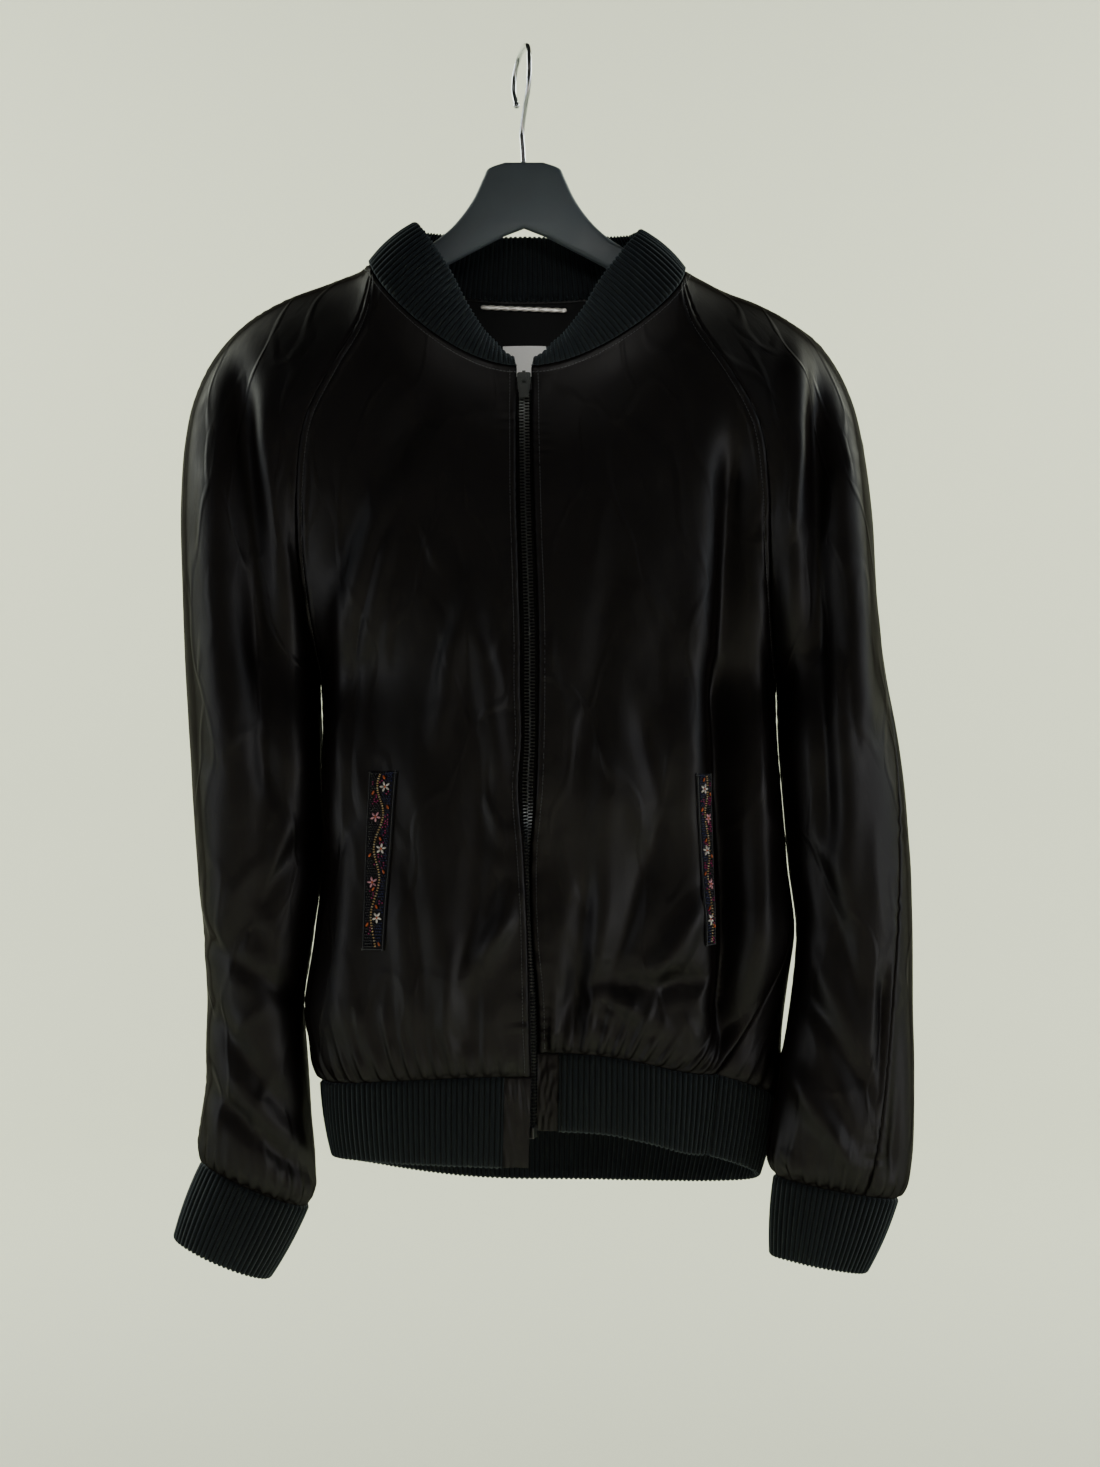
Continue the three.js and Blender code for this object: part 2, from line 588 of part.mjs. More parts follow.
function panelRows(levels, columnsAt, pleats, pleatHeight) {
  const zigzag = spread(0, 1, pleats * 2);
  const rows = [{ level: 0, across: zigzag }];
  for (const { level, share } of pleatShape) {
    const lift = zigzag.map((u, i) => {
      const uneven = 0.75 + 0.25 * Math.sin(i * 2.3);
      const fade = smooth(u * pleats) * smooth((1 - u) * pleats);
      return (i % 2 ? 1 : -0.6) * pleatHeight * share * uneven * fade;
    });
    rows.push({ level, across: zigzag, lift });
  }
  for (const level of levels) rows.push({ level, across: columnsAt(level) });
  return rows;
}

// ---------------------------------------------------------------- pocket places on the fronts
const weltOutline = {
  r: table("z inner outer", [[-531, -88, -108.5], [-668, -97, -113]]),
  l: table("z inner outer", [[-531, 121, 135], [-668, 129, 137]]),
};
const weltRows = { bottom: 1.9, top: 4.35 };

function acrossAt(cloth, level, x) {
  let [low, high] = [0, 1];
  const rising = cloth(level, 1).x > cloth(level, 0).x;
  for (let i = 0; i < 30; i += 1) {
    const middle = (low + high) / 2;
    if ((cloth(level, middle).x < x) === rising) low = middle;
    else high = middle;
  }
  return (low + high) / 2;
}

const weltColumns = { r: [7, 9], l: [7, 9] };

// Columns of a front panel: two of them follow the edges of the pocket's welt.
function frontColumns(sideName) {
  const cloth = surfaces[`front_${sideName}`].base;
  const [bottom, top] = [weltOutline[sideName][1], weltOutline[sideName][0]];
  const [first, last] = weltColumns[sideName];
  const count = panelColumns.front;
  return (level) => {
    const f = clamp01((level - weltRows.bottom) / (weltRows.top - weltRows.bottom));
    const heldLevel = Math.min(Math.max(level, weltRows.bottom), weltRows.top);
    const inner = acrossAt(cloth, heldLevel, mix(bottom.inner, top.inner, f));
    const outer = acrossAt(cloth, heldLevel, mix(bottom.outer, top.outer, f));
    return [
      ...spread(0, inner, first).slice(0, -1), ...spread(inner, outer, last - first).slice(0, -1),
      ...spread(outer, 1, count - last),
    ];
  };
}

const evenColumns = (count) => () => spread(0, 1, count);

// ---------------------------------------------------------------- knit rib on the edges of the shell
// Neckline, from the wearer's right front edge (0) round the back (2.5) to the left front edge (5).
const neckline = [
  ["front_r", 0, 1, 0, 1], ["sleeve_front_r", 1, 1.5, 0, 1], ["sleeve_back_r", 1.5, 2, 0, 1],
  ["back", 2, 3, 0, 1],
  ["sleeve_back_l", 3, 3.5, 1, 0], ["sleeve_front_l", 3.5, 4, 1, 0], ["front_l", 4, 5, 1, 0],
];
const hemline = [["front_r", 0, 1, 0, 1], ["back", 1, 2, 0, 1], ["front_l", 2, 3, 1, 0]];

const cuffline = (sideName) => [
  [`sleeve_front_${sideName}`, 0, 1, 0, 1], [`sleeve_back_${sideName}`, 1, 2, 0, 1],
];

// A place on a line of panel edges: the point, and the panels' mean outward normal there.
function onLine(line, at, top) {
  const near = line.filter(([, from, to]) => at >= from - 1e-6 && at <= to + 1e-6);
  const normal = V(0, 0, 0);
  let point;
  for (const [name, from, to, first, last] of near) {
    const surface = surfaces[name];
    const across = mix(first, last, clamp01((at - from) / (to - from)));
    const level = top ? surface.top : 0;
    normal.add(surface.frame(level, across).normal);
    point = surface.base(level, across);
  }
  return { point, normal: normal.normalize() };
}

// Places along a line at even lengths.
function evenPlaces(line, from, to, top, count) {
  const fine = spread(from, to, 240);
  const points = fine.map((at) => onLine(line, at, top).point);
  const lengths = [0];
  for (let i = 1; i < points.length; i += 1) {
    lengths.push(lengths[i - 1] + points[i].distanceTo(points[i - 1]));
  }
  const total = lengths[lengths.length - 1];
  let i = 0;
  const places = spread(0, total, count ?? Math.round(total / ribPitch) * 2).map((length) => {
    while (i < lengths.length - 2 && length > lengths[i + 1]) i += 1;
    return mix(fine[i], fine[i + 1], clamp01((length - lengths[i]) / (lengths[i + 1] - lengths[i])));
  });
  return { places, total };
}

// The seam between a line of panel edges and the rib sewn to it: reach gives the rib's fall there.
function ribSeam({ line, top, reach, shared, closed }, at) {
  const last = line[line.length - 1][2];
  const wrap = (value) => (closed ? ((value % last) + last) % last : Math.max(0, Math.min(last, value)));
  const { point, normal: panelNormal } = onLine(line, wrap(at), top);
  const e = 0.01;
  const behind = onLine(line, wrap(at - e), top).point;
  const along = onLine(line, wrap(at + e), top).point.sub(behind).normalize();
  const fall = reach(wrap(at), point);
  const out = V(0, 0, 0).crossVectors(along, fall).normalize();
  if (out.dot(panelNormal) < 0) out.negate();
  const normal = shared ? V(0, 0, 0).addVectors(out, panelNormal).normalize() : panelNormal;
  const into = V(0, 0, 0).crossVectors(along, normal).normalize();
  if (into.dot(fall) < 0) into.negate();
  return { point, along, fall, out, normal, into };
}

// The same seam as a panel on the line sees it.
const seamOfPanel = (trim, name) => {
  const [, from, to, first, last] = trim.line.find((part) => part[0] === name);
  return (across) => ribSeam(trim, mix(from, to, (across - first) / (last - first)));
};

// A knit-rib or satin wall sewn to a line, between two places on it.
function ribWallOn(trim, { from, to, drops, bulge, ribs = true, count, ends = [0, 0] }) {
  const { closed = false } = trim;
  const places = evenPlaces(trim.line, from, to, trim.top, count).places;
  const seams = (closed ? places.slice(0, -1) : places).map((at) => ribSeam(trim, at));
  const across = spread(0, 1, places.length - 1).slice(0, seams.length);
  const cell = (i, drop, offset) => {
    const seam = seams[i];
    const at = seam.point.clone().addScaledVector(seam.fall, drop);
    at.addScaledVector(seam.out, bulge * 4 * drop * (1 - drop));
    at.addScaledVector(seam.into, (trimGap / 2) * (1 - drop));
    if (i === 0) at.addScaledVector(seam.along, ends[0]);
    if (i === seams.length - 1) at.addScaledVector(seam.along, -ends[1]);
    const turned = smooth(drop * 3);
    const normal = seam.normal.clone().multiplyScalar(1 - turned)
      .addScaledVector(seam.out, turned).normalize();
    return at.addScaledVector(normal, offset);
  };
  const every = seams.map((_, i) => i);
  const coarse = every.filter((i) => !ribs || i % 6 === 0 || (!closed && i === seams.length - 1));
  const outer = drops.map((drop) => ({
    at: drop,
    across,
    points: every.map((i) => cell(i, drop, ribWall / 2 + (ribs && i % 2 ? ribHeight : 0))),
  }));
  const inner = drops.map((drop) => ({
    at: drop, across: coarse.map((i) => across[i]), points: coarse.map((i) => cell(i, drop, -ribWall / 2)),
  }));
  return wallFrom(outer, inner, closed);
}

// ---------------------------------------------------------------- materials
const finish = (color, roughness, metalness = 0) => (
  new THREE.MeshStandardMaterial({ color, roughness, metalness }));
const materials = {
  satin: finish("#101213", 0.38),
  rib: finish("#0b0c0d", 0.9),
  tape: finish("#0c0c0d", 0.85),
  zipMetal: finish("#3a3a3c", 0.35, 0.9),
  welt: finish("#17171c", 0.6),
  lining: finish("#0d0d0e", 0.6),
  label: finish("#e6e4de", 0.8),
  loop: finish("#a89f8e", 0.5),
  hanger: finish("#1b1c1e", 0.5),
  wire: finish("#c9cccf", 0.15, 1),
};

const jacket = new THREE.Group();

function add(name, geometry, material) {
  const plain = geometry.clone();
  for (const attribute of ["normal", "uv"]) plain.deleteAttribute(attribute);
  const mesh = new THREE.Mesh(mergeVertices(plain, 1e-4), material);
  mesh.name = name;
  jacket.add(mesh);
  return mesh;
}

// ---------------------------------------------------------------- the three knit trims
function rise(at) {
  const row = alongTable(collarRise, "place", at <= 2.5 ? at : 5 - at);
  return V(at <= 2.5 ? row.inwards : -row.inwards, row.aft, row.up);
}

function fall(at) {
  const row = alongTable(bandFall, "place", at);
  return V(at <= 1.5 ? row.inwards : -row.inwards, row.aft, row.up);
}

function cuffReach(sideName) {
  const line = cuffline(sideName);
  const ring = spread(0, 2, 24).slice(0, -1).map((at) => onLine(line, at, false).point);
  const centre = ring.reduce((sum, point) => sum.add(point), V(0, 0, 0)).divideScalar(ring.length);
  const { axis, lowerWidth } = cuffFall[sideName];
  return (at, point) => axis.clone().addScaledVector(point.clone().sub(centre), lowerWidth - 1);
}

const trims = {
  neck: { line: neckline, top: true, reach: rise, shared: true },
  hem: { line: hemline, top: false, reach: fall, shared: false },
  r: { line: cuffline("r"), top: false, reach: cuffReach("r"), shared: false, closed: true },
  l: { line: cuffline("l"), top: false, reach: cuffReach("l"), shared: false, closed: true },
};

// ---------------------------------------------------------------- shell
const bodyLevels = [1.35, 1.9, 2.7, 3.5, 4.35, 5.2, 6, 6.8, 7.7, 8.7, 9.7, 10.7, 11.6, 12.33, 13, 14];
const raglanRows = bodyLevels.filter((level) => level > underarmLevel)
  .map((level) => level - underarmLevel + cuffToUnderarm);
const sleeveLevels = [1.6, 2.6, 3.6, 4.7, 5.8, 7, 8.1, 9, ...raglanRows];
const labelOutline = { left: -17, right: 18 };

function backColumns(level) {
  const held = Math.max(level, 12);
  const [from, to] = [labelOutline.left, labelOutline.right]
    .map((x) => acrossAt(surfaces.back.base, held, x));
  const outerCount = (panelColumns.back - 4) / 2;
  const ease = clamp01((level - 9) / 3);
  const a = mix(outerCount / panelColumns.back, from, ease);
  const b = mix(1 - outerCount / panelColumns.back, to, ease);
  return [
    ...spread(0, a, outerCount).slice(0, -1), ...spread(a, b, 4).slice(0, -1), ...spread(b, 1, outerCount),
  ];
}

const grids = {};
const satinPanel = (name, levels, columnsAt, pleats, pleatHeight) => {
  const foot = name.startsWith("sleeve") ? trims[name.slice(-1)] : trims.hem;
  const rows = panelRows(levels, columnsAt, pleats, pleatHeight);
  grids[name] = panelGrid(name, rows, seamOfPanel(foot, name), seamOfPanel(trims.neck, name));
  add(name, wallOf(grids[name], satinWall), materials.satin);
};

for (const sideName of ["r", "l"]) {
  satinPanel(`front_${sideName}`, bodyLevels, frontColumns(sideName), gathers.front, 1.5);
  const columns = evenColumns(panelColumns.sleeve);
  satinPanel(`sleeve_front_${sideName}`, sleeveLevels, columns, gathers.cuff, 1.6);
  satinPanel(`sleeve_back_${sideName}`, sleeveLevels, columns, gathers.cuff, 1.6);
}
satinPanel("back", bodyLevels, backColumns, gathers.back, 1.5);

// ---------------------------------------------------------------- collar, waistband and cuffs
const collarWall = ribWallOn(trims.neck, { from: 0, to: 5, drops: [0, 0.5, 1], bulge: collarBulge });
add("collar", collarWall, materials.rib);

const bandBulge = 1.5;
const tabWidth = { r: 19, l: 15 };

// Place on the hem where a satin tab ends and the knit rib of the waistband begins.
function tabEnd(sideName) {
  const [from, to] = sideName === "r" ? [0, 1] : [3, 2];
  const { places, total } = evenPlaces(hemline, from, to, false, 200);
  return places[Math.round((tabWidth[sideName] / total) * 200)];
}

const [tabEndR, tabEndL] = [tabEnd("r"), tabEnd("l")];
const halfGap = seamGap / 2;
const bandPieces = [
  { name: "tab_r", from: 0, to: tabEndR, ends: [0, halfGap], ribs: false },
  { name: "band_front_r", from: tabEndR, to: 1, ends: [halfGap, halfGap], ribs: true },
  { name: "band_back", from: 1, to: 2, ends: [halfGap, halfGap], ribs: true },
  { name: "band_front_l", from: 2, to: tabEndL, ends: [halfGap, halfGap], ribs: true },
  { name: "tab_l", from: tabEndL, to: 3, ends: [halfGap, 0], ribs: false },
];
for (const { name, from, to, ends, ribs } of bandPieces) {
  const wall = ribWallOn(trims.hem, {
    from, to, ends, ribs, drops: [0, 0.5, 1], bulge: bandBulge, count: ribs ? undefined : 6,
  });
  add(name, wall, ribs ? materials.rib : materials.satin);
}

for (const sideName of ["r", "l"]) {
  const wall = ribWallOn(trims[sideName], { from: 0, to: 2, drops: [0, 0.5, 1], bulge: 1.5 });
  add(`cuff_${sideName}`, wall, materials.rib);
}

// ---------------------------------------------------------------- what is sewn on the panels
// A piece laid on a panel's wall: part of the panel's own grid, moved out (or in, with face -1).
function laidOn(grid, rows, columns, wall, thickness, face = 1, gap = laidGap) {
  const middle = face * (wall / 2 + gap + thickness / 2);
  const part = grid.slice(rows[0], rows[1] + 1).map((row) => ({
    at: row.at, across: row.across.slice(columns[0], columns[1] + 1),
    cells: row.cells.slice(columns[0], columns[1] + 1).map(({ at, normal }) => ({
      at: at.clone().addScaledVector(normal, middle), normal,
    })),
  }));
  return part;
}

const rowOf = (grid, level) => grid.findIndex((row) => Math.abs(row.at - level) < 1e-6);

for (const sideName of ["r", "l"]) {
  const grid = grids[`front_${sideName}`];
  const rows = [rowOf(grid, weltRows.bottom), rowOf(grid, weltRows.top)];
  const welt = laidOn(grid, rows, weltColumns[sideName], satinWall, weltThickness);
  add(`welt_${sideName}`, wallOf(welt, weltThickness), materials.welt);
}

const facingThickness = 1.2;
const facingRows = [rowOf(grids.back, 12.33), rowOf(grids.back, 14)];
const facing = laidOn(grids.back, facingRows, [6, 16], satinWall, facingThickness, -1);
add("neck_facing", wallOf(facing, facingThickness), materials.lining);
const labelThickness = 0.8;
const labelGrid = laidOn(facing, [0, 1], [3, 7], facingThickness, labelThickness, -1);
add("label", wallOf(labelGrid, labelThickness), materials.label);

const loop = { from: V(-33, 26, -185), to: V(32, 26, -187.5), height: 3.8, depth: 1.6 };
const loopShape = new THREE.BoxGeometry(loop.from.distanceTo(loop.to), loop.depth, loop.height);
loopShape.rotateY(Math.atan2(loop.from.z - loop.to.z, loop.to.x - loop.from.x));
loopShape.translate(...loop.from.clone().add(loop.to).divideScalar(2).toArray());
add("hang_loop", loopShape, materials.loop);

// ---------------------------------------------------------------- zip
// A front edge from the slider down to the foot of the waistband, at a height.
function frontEdgeAt(sideName, z) {
  const line = spread(14, 0, 56).map((level) => place(rowAt(frontEdge[sideName], level)));
  const end = sideName === "r" ? 0 : 3;
  for (const drop of [0.25, 0.5, 0.75, 1]) {
    line.push(onLine(hemline, end, false).point.addScaledVector(fall(end), drop));
  }
  let i = 0;
  while (i < line.length - 2 && line[i + 1].z > z) i += 1;
  return line[i].clone().lerp(line[i + 1], (line[i].z - z) / (line[i].z - line[i + 1].z));
}

const zipStations = spread(zip.start, zip.end, 22).map((z) => {
  const [right, left] = [frontEdgeAt("r", z), frontEdgeAt("l", z)];
  const across = left.clone().sub(right).normalize();
  const centre = left.clone().add(right).divideScalar(2);
  return { right, left, across, back: V(-across.y, across.x, 0), centre };
});

// A bar of four corners at each station.
function barAlong(corners) {
  const wall = new Wall();
  const rings = corners.map((ring) => wall.row(ring, true));
  const even = [0, 1, 2, 3, 4];
  for (let i = 0; i < rings.length - 1; i += 1) wall.strip(rings[i], rings[i + 1], even, even);
  const [first, last] = [rings[0], rings[rings.length - 1]];
  wall.faces.push([first[2], first[1], first[0]], [first[3], first[2], first[0]]);
  wall.faces.push([last[0], last[1], last[2]], [last[0], last[2], last[3]]);
  return wall.geometry();
}

const bar = (a, b, depth) => [
  a.clone().sub(depth), b.clone().sub(depth), b.clone().add(depth), a.clone().add(depth),
];
for (const [sideName, face] of [["r", -1], ["l", 1]]) {
  const teeth = zipStations.map(({ centre, across, back }) => bar(
    centre.clone().addScaledVector(across, (face * zip.chainGap) / 2),
    centre.clone().addScaledVector(across, face * (zip.chainGap / 2 + zip.toothWidth)),
    back.clone().multiplyScalar(zip.toothDepth / 2),
  ));
  add(`zip_teeth_${sideName}`, barAlong(teeth), materials.zipMetal);
  const tape = zipStations.map(({ right, left, across }) => {
    const edge = face < 0 ? right : left;
    const tuck = face < 0 ? mix(1, -1.5, Math.abs(across.y)) : 1;
    return bar(
      edge.clone().add(V(-face * tuck, zip.tapeBehind, 0)),
      edge.clone().add(V(face * zip.tapeTuck, zip.tapeBehind, 0)),
      V(0, zip.tapeThickness / 2, 0),
    );
  });
  add(`zip_tape_${sideName}`, barAlong(tape), materials.tape);
}

// ---------------------------------------------------------------- slider, pull tab and foot of the zip
const solidOf = (geometry) => {
  const plain = geometry.clone();
  for (const attribute of ["normal", "uv"]) plain.deleteAttribute(attribute);
  const merged = mergeVertices(plain.index ? plain.toNonIndexed() : plain, 1e-4);
  return new wasm.Manifold(new wasm.Mesh({
    numProp: 3,
    vertProperties: new Float32Array(merged.attributes.position.array),
    triVerts: new Uint32Array(merged.index.array),
  }));
};

const geometryOf = (solid) => {
  const mesh = solid.getMesh();
  const geometry = new THREE.BufferGeometry();
  geometry.setAttribute("position", new THREE.BufferAttribute(new Float32Array(mesh.vertProperties), 3));
  geometry.setIndex(new THREE.BufferAttribute(new Uint32Array(mesh.triVerts), 1));
  return geometry;
};

const joined = (...geometries) => (
  geometryOf(geometries.map(solidOf).reduce((sum, solid) => sum.add(solid))));

// A plate in the X-Z plane, its front and back at the given depths.
function plate(shape, front, back) {
  const settings = { depth: back - front, bevelEnabled: false, curveSegments: 6 };
  const geometry = new THREE.ExtrudeGeometry(shape, settings);
  return geometry.rotateX(Math.PI / 2).translate(0, back, 0);
}

const box = (width, depth, height, x, y, z) => (
  new THREE.BoxGeometry(width, depth, height).translate(x, y, z));

const tilt = Math.atan2(6, 21.5); // the front edges lean forward from the neck to the chest
const onSlider = (geometry) => geometry.rotateX(-tilt).translate(slider.x, slider.y, slider.top);

const half = slider.width / 2;
const sliderFace = new THREE.Shape();
sliderFace.moveTo(-half + 1.5, 0);
sliderFace.lineTo(half - 1.5, 0);
sliderFace.quadraticCurveTo(half, 0, half, -2);
sliderFace.lineTo(half - 0.9, -slider.height + 1.5);
sliderFace.quadraticCurveTo(half - 1, -slider.height, half - 2.4, -slider.height);
sliderFace.lineTo(-half + 2.4, -slider.height);
sliderFace.quadraticCurveTo(-half + 1, -slider.height, -half + 0.9, -slider.height + 1.5);
sliderFace.lineTo(-half, -2);
sliderFace.quadraticCurveTo(-half, 0, -half + 1.5, 0);

const faceY = -(slider.channel / 2 + slider.plate); // front of the slider's front plate
const bridge = { width: 2.4, rise: 2.9, bar: 1, top: -0.6, foot: -8.2, leg: 1 };
const axisAt = V(0, faceY - bridge.rise / 2, -3.2);
const bridgeFront = faceY - bridge.rise - bridge.bar;
const bridgeMiddle = (bridge.top + bridge.foot) / 2;
const legDepth = bridge.rise + 0.6;
const legAt = faceY - bridge.rise / 2 + 0.1;
add("zip_slider", onSlider(joined(
  plate(sliderFace, faceY, -slider.channel / 2), plate(sliderFace, slider.channel / 2, -faceY),
  box(2.2, slider.channel + 0.4, 3.4, 0, 0, -1.9),
  box(bridge.width, bridge.bar, bridge.top - bridge.foot, 0, bridgeFront + bridge.bar / 2, bridgeMiddle),
  box(bridge.width, legDepth, bridge.leg, 0, legAt, bridge.top - bridge.leg / 2),
  box(bridge.width, legDepth, bridge.leg, 0, legAt, bridge.foot + bridge.leg / 2),
)), materials.zipMetal);

const tabHalf = pull.width / 2;
const pullTop = 0.8; // crossbar above the hinge axis
const tabShape = new THREE.Shape();
tabShape.moveTo(-tabHalf + 1, pullTop);
tabShape.lineTo(tabHalf - 1, pullTop);
tabShape.quadraticCurveTo(tabHalf, pullTop, tabHalf, pullTop - 1);
tabShape.lineTo(tabHalf, pullTop - pull.length + 1);
tabShape.quadraticCurveTo(tabHalf, pullTop - pull.length, tabHalf - 1, pullTop - pull.length);
tabShape.lineTo(-tabHalf + 1, pullTop - pull.length);
tabShape.quadraticCurveTo(-tabHalf, pullTop - pull.length, -tabHalf, pullTop - pull.length + 1);
tabShape.lineTo(-tabHalf, pullTop - 1);
tabShape.quadraticCurveTo(-tabHalf, pullTop, -tabHalf + 1, pullTop);
const slotHalf = pull.slotWidth / 2;
const slot = new THREE.Path();
slot.moveTo(-slotHalf, -pullTop);
slot.lineTo(-slotHalf, -pullTop - pull.slotHeight);
slot.lineTo(slotHalf, -pullTop - pull.slotHeight);
slot.lineTo(slotHalf, -pullTop);
slot.closePath();
tabShape.holes.push(slot);
add("pull_tab", onSlider(
  plate(tabShape, -pull.thickness / 2, pull.thickness / 2).translate(...axisAt.toArray()),
), materials.zipMetal);

const foot = zipStations[zipStations.length - 1];
const zipBox = { width: 9, depth: 3.4, height: 8 };
const footBox = box(zipBox.width, zipBox.depth, zipBox.height, 0, 0, 0);
footBox.rotateZ(Math.atan2(foot.across.y, foot.across.x));
footBox.translate(foot.centre.x, foot.centre.y, foot.centre.z - zipBox.height / 2 - seamGap);
add("zip_box", footBox, materials.zipMetal);

// ---------------------------------------------------------------- hanger
// Outline of the flat body: its arms run just under the sleeves' ridges.
const hangerHalf = {
  shoulder: table("x z", [
    [14, -83.7], [26, -88], [30, -95], [37.5, -111], [47.5, -125.3], [58, -136], [72, -146], [92, -156],
  ]),
  end: table("x z", [[195, -204.8], [208, -216], [213, -226], [211.5, -235], [203, -239]]),
  under: table("x z", [
    [180, -224], [150, -210], [110, -192], [80, -173], [59, -160.5], [36, -148.5], [16, -138.2],
  ]),
  middle: { x: 0, z: -132 },
};
const armGap = satinWall / 2 + 1.6;

function hangerSide(sideName) {
  const arm = [8, 7, 6].map((row) => {
    const { x, z } = ridge[sideName][row];
    return { x: Math.abs(x), z: z - armGap };
  });
  return [...hangerHalf.shoulder, ...arm, ...hangerHalf.end, ...hangerHalf.under]
    .map(({ x, z }) => new THREE.Vector2(outward[sideName] * x, z));
}

const inset = 3; // the rounded edge is added outside the inset outline
const middle = new THREE.Vector2(hangerHalf.middle.x, hangerHalf.middle.z);
const bodyShape = new THREE.Shape([...hangerSide("l"), middle, ...hangerSide("r").reverse()]);
const hangerBody = new THREE.ExtrudeGeometry(bodyShape, {
  depth: hangerDepth - 2 * inset,
  bevelEnabled: true, bevelThickness: inset, bevelSize: inset, bevelOffset: -inset, bevelSegments: 2,
});
add("hanger", hangerBody.rotateX(Math.PI / 2).translate(0, hangerDepth / 2 - inset, 0), materials.hanger);

// Wire hook: a stem, then three quarters of a turn in a plane that faces almost sideways.
const hook = { radius: 22.5, centre: -20.5, stemFoot: -83.2, bend: -61, lean: -0.27, sag: 2 };
const hookX = (y) => hook.lean * y - hook.sag * (y / hook.radius) ** 2;
const hookPoints = [
  V(-0.3, 0, hook.stemFoot), V(-1, 0, -72), V(-1.6, -1, hook.bend), V(0.6, -9, -47), V(3, -17.5, -36),
];
for (const turn of [-10, 20, 50, 70, 90, 110, 130, 160, 190, 215]) {
  const angle = (turn * Math.PI) / 180;
  const y = -hook.radius * Math.cos(angle);
  hookPoints.push(V(hookX(y), y, hook.centre + hook.radius * Math.sin(angle)));
}
const hookWire = new THREE.Shape().absarc(0, 0, wireRadius, 0, Math.PI * 2);
const wire = new THREE.ExtrudeGeometry(hookWire, {
  steps: 32, extrudePath: new THREE.CatmullRomCurve3(hookPoints), curveSegments: 4, bevelEnabled: false,
});
const tip = hookPoints[hookPoints.length - 1];
const tipBall = new THREE.SphereGeometry(wireRadius + 0.6, 10, 8).translate(tip.x, tip.y, tip.z);
add("hook", joined(wire, tipBall), materials.wire);

export default jacket;
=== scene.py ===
import math

import bmesh
import bpy
import numpy as np
from mathutils import Matrix, Vector


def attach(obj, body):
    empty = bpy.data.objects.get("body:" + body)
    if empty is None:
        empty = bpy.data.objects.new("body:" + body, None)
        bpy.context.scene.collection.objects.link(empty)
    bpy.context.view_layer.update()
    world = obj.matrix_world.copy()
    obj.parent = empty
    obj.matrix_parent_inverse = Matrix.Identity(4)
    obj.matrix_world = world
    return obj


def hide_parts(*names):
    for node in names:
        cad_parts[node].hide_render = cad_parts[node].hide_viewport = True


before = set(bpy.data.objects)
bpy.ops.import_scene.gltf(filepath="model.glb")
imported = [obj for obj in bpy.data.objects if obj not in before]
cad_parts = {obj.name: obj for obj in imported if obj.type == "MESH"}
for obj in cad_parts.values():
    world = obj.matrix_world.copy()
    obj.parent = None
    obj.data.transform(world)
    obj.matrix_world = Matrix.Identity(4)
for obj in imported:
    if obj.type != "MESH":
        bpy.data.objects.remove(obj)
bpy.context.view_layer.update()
mm = 0.001  # every length below is in millimetres until a mesh is made


# small tools
def srgb(hexColour, alpha=1.0):
    # hex colours as a designer picks them, turned to the linear values that shaders use
    channels = [int(hexColour[i:i + 2], 16) / 255 for i in (1, 3, 5)]
    linear = [c / 12.92 if c <= 0.04045 else ((c + 0.055) / 1.055) ** 2.4 for c in channels]
    return (*linear, alpha)


def mix(a, b, f):
    return a + (b - a) * f


def smooth(value):
    value = np.clip(value, 0, 1)
    return value * value * (3 - 2 * value)


def unit(v):
    return v / np.maximum(np.linalg.norm(v, axis=-1, keepdims=True), 1e-9)


def columns(names, rows):
    values = np.array(rows, float)
    return {name: values[:, i] for i, name in enumerate(names.split())}


def along(table, at):
    # every column of a table at fractional rows, on a smooth curve through the rows
    at = np.asarray(at, float)
    last = len(next(iter(table.values()))) - 1
    i = np.clip(np.floor(at), 0, last - 1).astype(int)
    f = at - i
    picks = [np.clip(i + k, 0, last) for k in (-1, 0, 1, 2)]
    result = {}
    for name, values in table.items():
        a, b, c, d = (values[k] for k in picks)
        slopeIn, slopeOut = (c - a) / 2, (d - b) / 2
        result[name] = (b * (2 * f**3 - 3 * f**2 + 1) + slopeIn * (f**3 - 2 * f**2 + f)
                        + c * (3 * f**2 - 2 * f**3) + slopeOut * (f**3 - f**2))
    return result


def atPlace(table, key, place):
    # the same, where the table's own first column says the place
    rows = np.interp(place, table[key], np.arange(len(table[key])))
    return along(table, rows)


def xyz(row, names="xyz"):
    return np.stack([row[n] for n in (names if len(names) == 3 else names.split())], -1)


def bezier(start, startHandle, endHandle, end, f):
    f = np.asarray(f)[..., None]
    g = 1 - f
    return (start * (g**3 + 3 * g * g * f) + startHandle * (3 * g * g * f)
            + endHandle * (3 * g * f * f) + end * (f**3 + 3 * g * f * f))


def vec(x, y, z):
    return np.stack(np.broadcast_arrays(np.asarray(x, float), y, z), -1)


# the cut, in millimetres: z up, the front towards -y, the wearer's right towards -x
outward = {"r": -1, "l": 1}
underarm = 6  # body rows from the hem to the underarm
cuffRows = 9  # sleeve rows from the cuff to the underarm
bodyTop, sleeveTop = 14, 17
satinFace = 0.8  # from the middle of the cloth to its face
ribFace = 1.1

